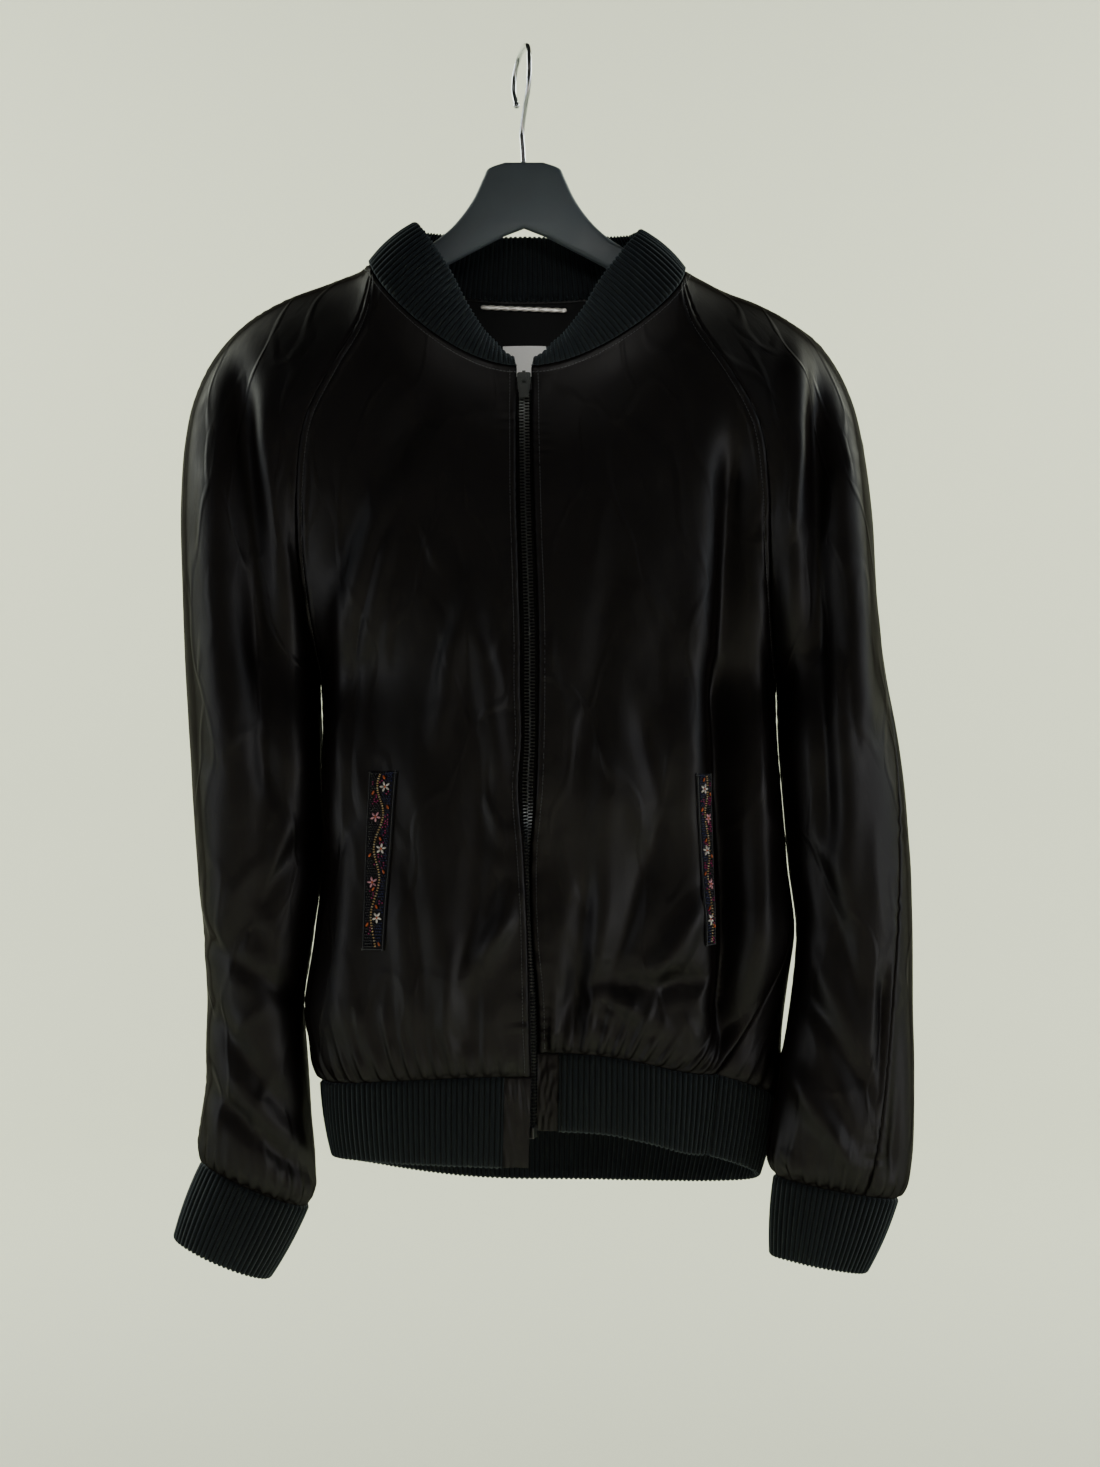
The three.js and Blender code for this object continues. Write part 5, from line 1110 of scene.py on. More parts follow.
def shapeObject(name, rings, sides, flatten=1.0):
    # a small turned shape along x: rings of (x, radius, z lift), closed at both ends
    angles = np.linspace(0, 2 * math.pi, sides, endpoint=False)
    points = [(x * mm, radius * math.cos(a) * mm, (radius * flatten * math.sin(a) + lift) * mm)
              for x, radius, lift in rings for a in angles]
    faces = [(row * sides + i, row * sides + (i + 1) % sides,
        (row + 1) * sides + (i + 1) % sides, (row + 1) * sides + i)
             for row in range(len(rings) - 1) for i in range(sides)]
    faces += [tuple(range(sides))[::-1], tuple((len(rings) - 1) * sides + i for i in range(sides))]
    mesh = bpy.data.meshes.new(name)
    mesh.from_pydata(points, [], [f[::-1] for f in faces])
    mesh.polygons.foreach_set("use_smooth", [True] * len(faces))
    return bpy.data.objects.new(name, mesh)


# topstitching: polyester thread, one stitch every 2.6 mm
topStitch = {"pitch": 2.6, "length": 2.0, "thread": 0.22, "fromSeam": 4.6, "fromCollar": 5.5, "fromZip": 5.0}
half = topStitch["length"] / 2
stitchShape = shapeObject("stitch", [(-half, 0.1, -0.14), (-half * 0.75, topStitch["thread"], 0.08),
    (0, topStitch["thread"] * 1.1, 0.16),
                                     (half * 0.75, topStitch["thread"], 0.08), (half, 0.1, -0.14)], 4)


def sewingThread():
    # black polyester thread, twisted and slightly shiny
    material, tree = newMaterial("blackPolyesterThread")
    place = node(tree, "ShaderNodeTexCoord").outputs["Object"]
    twist = node(tree, "ShaderNodeTexNoise", {"Vector": place, "Scale": 1500.0, "Detail": 1.0}).outputs[0]
    bump = node(tree, "ShaderNodeBump", {"Strength": 0.4, "Distance": 0.0001, "Height": twist}).outputs[0]
    colour = node(tree, "ShaderNodeMix", {0: twist, 6: srgb("#3c3e41"), 7: srgb("#5a5d60")},
        data_type="RGBA").outputs[2]
    shader = node(tree, "ShaderNodeBsdfPrincipled", {"Base Color": colour, "Roughness": 0.5, "Normal": bump})
    finishMaterial(tree, shader)
    return material


thread = sewingThread()


def acrossFrom(name, level, distance, fromEnd):
    # the place on each row that lies a given distance from a seam
    panel = panels[name]
    i = np.interp(level, panel["levels"], np.arange(len(panel["levels"]))).round().astype(int)
    result = []
    for row in i:
        start = panel["fromStart"][row]
        result.append(np.interp(start[-1] - distance if fromEnd else distance, start, panel["acrosses"]))
    return np.array(result)


def stitchPath(name, levels, distance, fromEnd):
    point, out = onPanel(name, levels, acrossFrom(name, levels, distance, fromEnd))
    return point + out * 0.05, out


def neckPath(name):
    # parallel to the collar seam
    across = np.linspace(0.01, 0.99, 60)
    panel = panels[name]
    j = np.interp(across, panel["acrosses"], np.arange(len(panel["acrosses"]))).round().astype(int)
    below = panel["height"][-1] - topStitch["fromCollar"]
    levels = [np.interp(below[k], panel["height"][:, k], panel["levels"]) for k in j]
    point, out = onPanel(name, np.array(levels), across)
    return point + out * 0.05, out


paths = []
for side in "rl":
    raglanRun = np.linspace(underarm + 0.1, bodyTop - 0.1, 90)
    paths.append(stitchPath("front_" + side, raglanRun, topStitch["fromSeam"], True))
    paths.append(stitchPath("back", raglanRun, topStitch["fromSeam"], side == "l"))
    paths.append(stitchPath("front_" + side, np.linspace(0.15, bodyTop - 0.3, 140),
        topStitch["fromZip"], False))
    for part in ("front_" + side, "sleeve_front_" + side, "sleeve_back_" + side):
        paths.append(neckPath(part))
paths.append(neckPath("back"))
stitches = pathCarrier("topstitching", paths)
runTree(stitches, followPath, pitch=topStitch["pitch"] * mm, shape=stitchShape, finish=thread)
settle(stitches, "jacket", thread, "satin")
print("topstitching made")

# zip: dark nickel teeth on black woven tape
zipSizes = {"pitch": 2.4, "toothWidth": 4.1, "overlap": 0.35, "toothDepth": 2.4, "toothHeight": 1.25,
    "start": -259, "end": -788}


def frontEdgePath(side):
    rows = along(frontEdge[side], np.linspace(bodyTop, 0, 141))
    points = xyz(rows)
    hemPlace = 0 if side == "r" else 3
    hemPoint = lineAt(hem, np.array([arcAt(hem, hemPlace)]))[1][0]
    fall = bandReach(np.array([hemPlace]), None)[0]
    return np.vstack([points, hemPoint + fall * np.linspace(0.1, 1, 10)[:, None]])


def edgeAtHeight(side, z):
    path = frontEdgePath(side)
    return np.stack([np.interp(-z, -path[:, 2], path[:, k]) for k in range(3)], -1)


zipRun = np.linspace(zipSizes["start"], zipSizes["end"], 180)
edgeR, edgeL = edgeAtHeight("r", zipRun), edgeAtHeight("l", zipRun)
zipAcross = unit((edgeL - edgeR) * np.array([1, 1, 0]))
zipBack = np.stack([-zipAcross[:, 1], zipAcross[:, 0], 0 * zipRun], -1)
zipCentre = (edgeL + edgeR) / 2


def brushedNickel():
    # zinc teeth plated dark nickel: a soft brushed gleam
    material, tree = newMaterial("darkNickelPlate")
    place = node(tree, "ShaderNodeTexCoord").outputs["Object"]
    grain = node(tree, "ShaderNodeMapping", {0: place, 3: (3000, 3000, 300)}).outputs[0]
    lines = node(tree, "ShaderNodeTexNoise", {"Vector": grain, "Scale": 1.0, "Detail": 2.0}).outputs[0]
    rough = node(tree, "ShaderNodeMapRange", {0: lines, 3: 0.28, 4: 0.42}).outputs[0]
    bump = node(tree, "ShaderNodeBump", {"Strength": 0.2, "Distance": 0.00005, "Height": lines}).outputs[0]
    colour = node(tree, "ShaderNodeMix", {0: lines, 6: srgb("#565957"), 7: srgb("#7d807d")},
        data_type="RGBA").outputs[2]
    shader = node(tree, "ShaderNodeBsdfPrincipled", {
        "Base Color": colour, "Roughness": rough, "Metallic": 1.0, "Normal": bump})
    finishMaterial(tree, shader)
    return material


def wovenTape():
    # polyester herringbone tape: threads 0.4 mm apart, drawn 0.8 mm apart so that they show
    material, tree = newMaterial("blackWovenTape")
    uv = node(tree, "ShaderNodeUVMap", uv_map="cloth").outputs[0]
    apart = node(tree, "ShaderNodeSeparateXYZ", {0: uv}).outputs
    leg = node(tree, "ShaderNodeMath", {0: apart["X"], 1: 0.002}, operation="PINGPONG").outputs[0]
    slope = node(tree, "ShaderNodeMath", {0: apart["Y"], 1: leg}, operation="ADD").outputs[0]
    twill = node(tree, "ShaderNodeMath", {0: slope, 1: 0.0004}, operation="PINGPONG").outputs[0]
    height = node(tree, "ShaderNodeMath", {0: twill, 1: 2500.0}, operation="MULTIPLY").outputs[0]
    bump = node(tree, "ShaderNodeBump", {"Strength": 0.6, "Distance": 0.0002, "Height": height}).outputs[0]
    # the colour darkens in the hollows of the twill: painted shade
    colour = node(tree, "ShaderNodeMix", {0: height, 6: srgb("#050506"), 7: srgb("#0b0c0d")},
        data_type="RGBA").outputs[2]
    shader = node(tree, "ShaderNodeBsdfPrincipled", {
        "Base Color": colour, "Roughness": 0.8, "Normal": bump, "Specular IOR Level": 0.3})
    finishMaterial(tree, shader)
    return material


nickel, tapeCloth = brushedNickel(), wovenTape()
w, d, h = zipSizes["toothWidth"], zipSizes["toothDepth"] / 2, zipSizes["toothHeight"] / 2
toothSection = [(0.0, 0.55), (0.3, 0.95), (1.1, 1.0), (1.6, 0.72), (2.3, 0.72), (3.6, 0.95), (4.0, 0.8)]
for side, face in (("r", -1), ("l", 1)):
    # a tooth lies across the path: head over the middle, foot round the tape
    points, faces = [], []
    for reach, fat in toothSection:
        y = face * (reach * w / 4.1 - zipSizes["overlap"])
        for a, b in ((-1, -0.6), (-0.6, -1), (0.6, -1), (1, -0.6), (1, 0.6), (0.6, 1), (-0.6, 1), (-1, 0.6)):
            points.append((a * h * fat * mm, y * mm, b * d * (0.7 + 0.3 * fat) * mm))
    rowCount = len(toothSection)
    faces = [(r * 8 + i, r * 8 + (i + 1) % 8, (r + 1) * 8 + (i + 1) % 8,
        (r + 1) * 8 + i) for r in range(rowCount - 1) for i in range(8)]
    faces += [tuple(range(8))[::-1], tuple((rowCount - 1) * 8 + i for i in range(8))]
    if face > 0:
        faces = [f[::-1] for f in faces]
    toothMesh = bpy.data.meshes.new("tooth")
    toothMesh.from_pydata(points, [], faces)
    tooth = bpy.data.objects.new("tooth", toothMesh)
    centre = zipCentre.copy()
    if face > 0:
        centre[:, 2] -= zipSizes["pitch"] / 2
    row = pathCarrier("zip_teeth_row_" + side, [(centre, -zipBack)])
    runTree(row, followPath, pitch=zipSizes["pitch"] * mm, shape=tooth, finish=nickel)
    settle(row, "jacket", nickel, "zip_metal", "zip_teeth_" + side)
    # tape: from behind the teeth to under the satin
    edge = edgeR if side == "r" else edgeL
    tuck = 4.2
    stations = []
    for share, back in ((0, 0.1), (0.06, 0.75), (0.5, 0.9), (1, 1.6)):
        stations.append(mix(zipCentre + zipAcross * face * 0.7, edge, share) + zipBack * back)
    stations.append(edge + np.array([face * tuck, 2.6, 0]))
    grid = np.stack(stations, 1)
    uv = np.stack([lengths(grid, 1), lengths(grid, 0)], -1)
    tape = clothMesh("zip_tape_cloth_" + side, grid, face * -1, uv)
    wall = tape.modifiers.new("wall", "SOLIDIFY")
    wall.thickness, wall.offset = 0.7 * mm, -1
    applied(tape)
    settle(tape, "jacket", tapeCloth, "zip_tape", "zip_tape_" + side)
print("zip made")


def finerCopy(name, newName, bevel, segments=2):
    # a CAD solid with its edges eased
    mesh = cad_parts[name].data.copy()
    bm = bmesh.new()
    bm.from_mesh(mesh)
    bmesh.ops.remove_doubles(bm, verts=bm.verts, dist=0.00002)
    bmesh.ops.dissolve_limit(bm, angle_limit=math.radians(1), verts=bm.verts, edges=bm.edges)
    bm.to_mesh(mesh)
    bm.free()
    piece = bpy.data.objects.new(newName, mesh)
    bpy.context.scene.collection.objects.link(piece)
    ease = piece.modifiers.new("ease", "BEVEL")
    ease.width, ease.segments = bevel * mm, segments
    ease.limit_method, ease.angle_limit = "ANGLE", math.radians(35)
    ease.harden_normals = False
    applied(piece)
    return piece


for name, bevel in (("zip_slider", 0.22), ("zip_box", 0.5)):
    settle(finerCopy(name, name + "_cast", bevel), "jacket", nickel, "zip_metal", name)
settle(finerCopy("pull_tab", "pull_tab_cast", 0.3), "pull_tab", nickel, "zip_metal", "pull_tab")


# hanger: moulded black plastic, matt, with a wire hook
hangerSizes = {"depth": 9, "edge": 3, "armGap": 2.4}
hangerShoulder = [[14, -83.7], [26, -88], [30, -95], [37.5, -111], [47.5, -125.3], [58, -136],
    [72, -146], [92, -156]]
hangerEnd = [[195, -204.8], [208, -216], [213, -226], [211.5, -235], [203, -239]]
hangerUnder = [[180, -224], [150, -210], [110, -192], [80, -173], [59, -160.5], [36, -148.5], [16, -138.2]]


def hangerSide(side):
    arm = [(abs(ridge[side]["x"][row]), ridge[side]["z"][row] - hangerSizes["armGap"]) for row in (8, 7, 6)]
    rows = np.array([*hangerShoulder, *arm, *hangerEnd, *hangerUnder])
    curve = along({"x": rows[:, 0], "z": rows[:, 1]}, np.linspace(0, len(rows) - 1, 4 * len(rows)))
    return np.stack([outward[side] * curve["x"], curve["z"]], -1)


outline = np.vstack([hangerSide("l"), [[0, -132]], hangerSide("r")[::-1]])
flat = bpy.data.curves.new("hangerOutline", "CURVE")
flat.dimensions, flat.fill_mode = "2D", "BOTH"
flat.bevel_depth, flat.bevel_resolution = hangerSizes["edge"] * mm, 4
flat.offset, flat.extrude = -hangerSizes["edge"] * mm, (hangerSizes["depth"] / 2 - hangerSizes["edge"]) * mm
line = flat.splines.new("POLY")
line.points.add(len(outline) - 1)
line.points.foreach_set("co",
    np.hstack([outline * mm, np.zeros((len(outline), 1)), np.ones((len(outline), 1))]).ravel())
line.use_cyclic_u = True
hangerCurve = bpy.data.objects.new("hangerOutline", flat)
bpy.context.scene.collection.objects.link(hangerCurve)
bpy.context.view_layer.update()
hangerMesh = bpy.data.meshes.new_from_object(hangerCurve.evaluated_get(bpy.context.evaluated_depsgraph_get()))
bpy.data.objects.remove(hangerCurve)
hangerMesh.transform(Matrix.Rotation(math.pi / 2, 4, "X"))
bm = bmesh.new()
bm.from_mesh(hangerMesh)
bmesh.ops.remove_doubles(bm, verts=bm.verts, dist=0.00002)
bmesh.ops.recalc_face_normals(bm, faces=bm.faces)
bm.to_mesh(hangerMesh)
bm.free()
hangerMesh.polygons.foreach_set("use_smooth", [True] * len(hangerMesh.polygons))
hangerMesh.set_sharp_from_angle(angle=math.radians(40))
hangerPiece = bpy.data.objects.new("hanger_moulded", hangerMesh)
bpy.context.scene.collection.objects.link(hangerPiece)


def mouldedPlastic():
    # black polypropylene with a fine spark-eroded grain, hazy gloss and handling scuffs
    material, tree = newMaterial("blackPolypropylene")
    place = node(tree, "ShaderNodeTexCoord").outputs["Object"]
    grain = node(tree, "ShaderNodeTexNoise", {"Vector": place, "Scale": 1400.0, "Detail": 2.0}).outputs[0]
    haze = node(tree, "ShaderNodeTexNoise", {"Vector": place, "Scale": 45.0, "Detail": 4.0}).outputs[0]
    rough = node(tree, "ShaderNodeMapRange", {0: haze, 1: 0.3, 2: 0.7, 3: 0.42, 4: 0.56}).outputs[0]
    bump = node(tree, "ShaderNodeBump", {"Strength": 0.25, "Distance": 0.0001, "Height": grain}).outputs[0]
    colour = node(tree, "ShaderNodeMix", {0: haze, 6: srgb("#535c61"), 7: srgb("#5f696f")},
        data_type="RGBA").outputs[2]
    shader = node(tree, "ShaderNodeBsdfPrincipled", {
        "Base Color": colour, "Roughness": rough, "Normal": bump})
    finishMaterial(tree, shader)
    return material


def chromedWire():
    # bright chromed steel wire, drawn lines along it
    material, tree = newMaterial("chromedSteelWire")
    place = node(tree, "ShaderNodeTexCoord").outputs["Object"]
    drawn = node(tree, "ShaderNodeTexNoise", {"Vector": place, "Scale": 900.0, "Detail": 2.0}).outputs[0]
    rough = node(tree, "ShaderNodeMapRange", {0: drawn, 3: 0.08, 4: 0.2}).outputs[0]
    colour = node(tree, "ShaderNodeMix", {0: drawn, 6: srgb("#b9bdc0"), 7: srgb("#cdd0d2")},
        data_type="RGBA").outputs[2]
    shader = node(tree, "ShaderNodeBsdfPrincipled", {
        "Base Color": colour, "Roughness": rough, "Metallic": 1.0})
    finishMaterial(tree, shader)
    return material


settle(hangerPiece, "jacket", mouldedPlastic(), "hanger_plastic", "hanger")

# three quarters of a turn of wire in a plane that faces almost sideways, ending in a ball
hookSizes = {"radius": 22.5, "centre": -20.5, "lean": -0.27, "sag": 2, "wire": 2.0, "ball": 2.6}
hookPlaces = [(-0.3, 0, -83.2), (-1, 0, -72), (-1.6, -1, -61), (0.6, -9, -47), (3, -17.5, -36)]
for turn in np.radians([-10, 20, 50, 70, 90, 110, 130, 160, 190, 215]):
    y = -hookSizes["radius"] * math.cos(turn)
    x = hookSizes["lean"] * y - hookSizes["sag"] * (y / hookSizes["radius"]) ** 2
    hookPlaces.append((x, y, hookSizes["centre"] + hookSizes["radius"] * math.sin(turn)))
hookPath = xyz(along(columns("x y z", hookPlaces), np.linspace(0, len(hookPlaces) - 1, 150)))


def roundTube(name, rings):
    # a closed tube from rings of points: rings[station, corner]
    count = rings.shape[1]
    run = np.concatenate([[0], np.cumsum(np.linalg.norm(np.diff(rings.mean(1), axis=0), axis=-1))])
    uv = np.stack(np.meshgrid(run, np.linspace(0, 12, count + 1)), -1)
    piece = clothMesh(name, rings.swapaxes(0, 1), 1, uv, wrapRows=True, caps=True)
    bm = bmesh.new()
    bm.from_mesh(piece.data)
    bmesh.ops.recalc_face_normals(bm, faces=bm.faces)
    bm.to_mesh(piece.data)
    bm.free()
    return piece


def ringsAlong(path, radii, sides):
    tangent = unit(np.gradient(path, axis=0))
    side = unit(np.cross(tangent, [0.9, 0.1, 0.42]))
    up = np.cross(side, tangent)
    angle = np.linspace(0, 2 * math.pi, sides, endpoint=False)[None, :, None]
    ring = np.cos(angle) * side[:, None] + np.sin(angle) * up[:, None]
    return path[:, None] + radii[:, None, None] * ring


hookRadii = np.full(len(hookPath), hookSizes["wire"])
tip = hookPath[-1] + unit(hookPath[-1] - hookPath[-2]) * np.linspace(0.4, 2 * hookSizes["ball"], 12)[:, None]
tipShare = np.linspace(-0.78, 0.98, 12)
tipRadii = hookSizes["ball"] * np.sqrt(1 - tipShare**2)
hookRings = ringsAlong(np.vstack([hookPath, tip]), np.concatenate([hookRadii, tipRadii]), 20)
settle(roundTube("hook_wire", hookRings), "jacket", chromedWire(), "hook_wire", "hook")
print("hanger made")


# inside the neck: facing, blank label, hanging cord
def cadBox(name):
    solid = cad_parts[name]
    corners = np.array([solid.matrix_world @ Vector(c) for c in solid.bound_box]) / mm
    return corners.min(0), corners.max(0)


def backPatch(name, thickness, depth, count):
    # a piece laid inside the back, over the same ground as the solid
    low, high = cadBox(name)
    levels = np.linspace(9, bodyTop, 200)
    middle = baseCloth["back"](levels, np.full(200, 0.5))[:, 2]
    bottomTop = np.interp([low[2] + 0.2, high[2] - 0.2], middle, levels)
    acrosses = np.linspace(0, 1, 400)
    reach = baseCloth["back"](np.full(400, bottomTop.mean()), acrosses)[:, 0]
    if reach[0] > reach[-1]:
        acrosses, reach = acrosses[::-1], reach[::-1]
    ends = np.interp([low[0], high[0]], reach, acrosses)
    level, across = np.meshgrid(np.linspace(*np.minimum(bottomTop, bodyTop - 0.03), count),
        np.linspace(*sorted(ends), count), indexing="ij")
    point, out = onPanel("back", level, across)
    point = point - out * depth
    uv = np.stack([lengths(point, 1), lengths(point, 0)], -1)
    patch = clothMesh(name + "_cloth", point, panels["back"]["turn"], uv)
    wall = patch.modifiers.new("wall", "SOLIDIFY")
    wall.thickness, wall.offset = thickness * mm, -1
    edge = patch.modifiers.new("edge", "BEVEL")
    edge.width, edge.segments, edge.limit_method = 0.3 * mm, 2, "ANGLE"
    applied(patch)
    return patch


def plainCloth(name, dark, light, rough, apart):
    # a plain weave drawn at a thread spacing that still shows
    material, tree = newMaterial(name)
    uv = node(tree, "ShaderNodeUVMap", uv_map="cloth").outputs[0]
    threads = node(tree, "ShaderNodeMapping", {0: uv, 3: (1 / apart, 1 / apart, 1)}).outputs[0]
    weave = node(tree, "ShaderNodeTexChecker", {0: threads, "Scale": 1.0}).outputs[1]
    slub = node(tree, "ShaderNodeTexNoise", {"Vector": threads, "Scale": 0.35, "Detail": 3.0}).outputs[0]
    bump = node(tree, "ShaderNodeBump", {"Strength": 0.3, "Distance": 0.0001, "Height": weave}).outputs[0]
    colour = node(tree, "ShaderNodeMix", {0: slub, 6: srgb(dark), 7: srgb(light)},
        data_type="RGBA").outputs[2]
    shader = node(tree, "ShaderNodeBsdfPrincipled",
                  {"Base Color": colour, "Roughness": rough, "Normal": bump, "Specular IOR Level": 0.3})
    finishMaterial(tree, shader)
    return material


liningCloth = plainCloth("blackCottonTwill", "#08090a", "#111213", 0.8, 0.0006)
labelWeave = plainCloth("ivoryWovenLabel", "#f6f5f1", "#fffffc", 0.7, 0.0005)
settle(backPatch("neck_facing", 1.2, 1.9, 24), "jacket", liningCloth, "lining", "neck_facing")
settle(backPatch("label", 0.8, 3.4, 12), "jacket", labelWeave, "label_cloth", "label")


def metallicCord():
    # twisted metallic cord: thin metal-coated film over pale yarn
    material, tree = newMaterial("paleMetallicCord")
    place = node(tree, "ShaderNodeTexCoord").outputs["Object"]
    glint = node(tree, "ShaderNodeTexNoise", {"Vector": place, "Scale": 1200.0, "Detail": 2.0}).outputs[0]
    colour = node(tree, "ShaderNodeMix", {0: glint, 6: srgb("#b3afa8"), 7: srgb("#e6e3dc")},
        data_type="RGBA").outputs[2]
    metal = node(tree, "ShaderNodeMapRange", {0: glint, 1: 0.45, 2: 0.55, 3: 0.2, 4: 0.8}).outputs[0]
    bump = node(tree, "ShaderNodeBump", {"Strength": 0.5, "Distance": 0.0002, "Height": glint}).outputs[0]
    shader = node(tree, "ShaderNodeBsdfPrincipled", {
        "Base Color": colour, "Roughness": 0.42, "Metallic": metal, "Normal": bump})
    finishMaterial(tree, shader)
    return material


loopSizes = {"from": (-33, 26, -185), "to": (32, 26, -187.5), "height": 3.8, "depth": 1.6}
loopShare = np.linspace(0, 1, 130)[:, None]
loopPath = mix(np.array(loopSizes["from"]), np.array(loopSizes["to"]), loopShare)
loopRadii = loopSizes["height"] / 2 / 1.14 * np.sqrt(np.clip(1 - (2 * loopShare[:, 0] - 1) ** 40, 0.1, 1))
angle = np.linspace(0, 2 * math.pi, 18, endpoint=False)
strands = 1 + 0.14 * np.cos(3 * angle[None] + loopShare * 65 * 2 * math.pi / 7)
loopGrid = loopPath[:, None] + (loopRadii[:, None] * strands)[..., None] * (
    np.cos(angle)[None, :, None] * np.array([0, loopSizes["depth"] / loopSizes["height"], 0])
    + np.sin(angle)[None, :, None] * np.array([0, 0, 1.0]))
settle(roundTube("hang_loop_cord", loopGrid), "jacket", metallicCord(), "loop_cord", "hang_loop")
print("neck made")

# pocket welts: black cloth, bound edge, glass beads in a plain pattern of stems and rosettes
weltOutline = {
    "r": columns("z inner outer", [[-531, -88, -108.5], [-668, -97, -113]]),
    "l": columns("z inner outer", [[-531, 121, 135], [-668, 129, 137]]),
}
weltRows = {"bottom": 1.9, "top": 4.35}
weltSizes = {"thickness": 1.8, "gap": 0.3, "bead": 1.75, "pitch": 1.72, "border": 1.6, "rosetteApart": 23}
beadTints = {name: np.array(srgb(value)) for name, value in {
    "navy": "#1b2350", "black": "#23232b", "gold": "#c8a873", "beige": "#d6c7a4", "magenta": "#b52a72",
    "pink": "#e7a7b5", "white": "#efe9e2", "orange": "#d9662a"}.items()}


def weltGrid(side):
    # rows run down the welt, columns across it, on a stiff even surface
    name, outline = "front_" + side, weltOutline[side]
    rows = []
    for share in np.linspace(0, 1, 9):
        level = mix(weltRows["top"], weltRows["bottom"], share)
        acrosses = np.linspace(0, 1, 500)
        x = baseCloth[name](np.full(500, level), acrosses)[:, 0] * outward[side]
        edges = np.interp([mix(*outline[k], share) * outward[side] for k in ("inner", "outer")], x, acrosses)
        point, out = onPanel(name, np.full(5, level), np.linspace(*edges, 5))
        rows.append(np.hstack([point, out]))
    table = np.array(rows)
    share = np.linspace(0, 1, 5)[:, None]
    straight = table[:, :1, :3] * (1 - share) + table[:, -1:, :3] * share
    table[:, :, :3] = (straight + table[:, :, :3]) / 2
    at = np.linspace(0, 8, 72)
    fine = np.stack([xyz(along({k: table[:, c, i] for i, k in enumerate("abcdef")}, at), "a b c d e f")
                     for c in range(5)], 1)
    columnsAt = np.linspace(0, 4, 15)
    i = np.minimum(columnsAt.astype(int), 3)
    fine = mix(fine[:, i], fine[:, i + 1], (columnsAt - i)[:, None])
    return fine[..., :3], unit(fine[..., 3:])


def coatedCloth():
    # black cotton backing under the beads
    return plainCloth("blackCottonBacking", "#0a0a0d", "#15151b", 0.7, 0.0007)


def glassBeads():
    # opaque and lined glass beads: coloured by their own tint, clear gloss, some lustre
    material, tree = newMaterial("glassBeads")
    tint = node(tree, "ShaderNodeAttribute", attribute_name="tint").outputs["Color"]
    place = node(tree, "ShaderNodeTexCoord").outputs["Object"]
    uneven = node(tree, "ShaderNodeTexNoise", {"Vector": place, "Scale": 700.0, "Detail": 2.0}).outputs[0]
    rough = node(tree, "ShaderNodeMapRange", {0: uneven, 3: 0.12, 4: 0.34}).outputs[0]
    shade = node(tree, "ShaderNodeMapRange", {0: uneven, 3: 0.75, 4: 1.15}).outputs[0]
    colour = node(tree, "ShaderNodeVectorMath", {0: tint, 3: shade}, operation="SCALE").outputs[0]
    shader = node(tree, "ShaderNodeBsdfPrincipled", {
        "Base Color": colour, "Roughness": rough, "Metallic": 0.15,
        "Coat Weight": 0.6, "Coat Roughness": 0.08})
    finishMaterial(tree, shader)
    return material


weltCloth, beadGlass = coatedCloth(), glassBeads()
r = weltSizes["bead"] / 2
seedBead = shapeObject("seedBead", [(-0.55 * r, 0.55 * r, 0), (-0.3 * r, 0.92 * r, 0), (0.3 * r, 0.92 * r, 0),
    (0.55 * r, 0.55 * r, 0)], 8)
riceBead = shapeObject("riceBead", [(-1.9, 0.25, 0), (-1.2, 0.75, 0), (0, 0.95, 0), (1.2, 0.75, 0),
    (1.9, 0.25, 0)], 8)


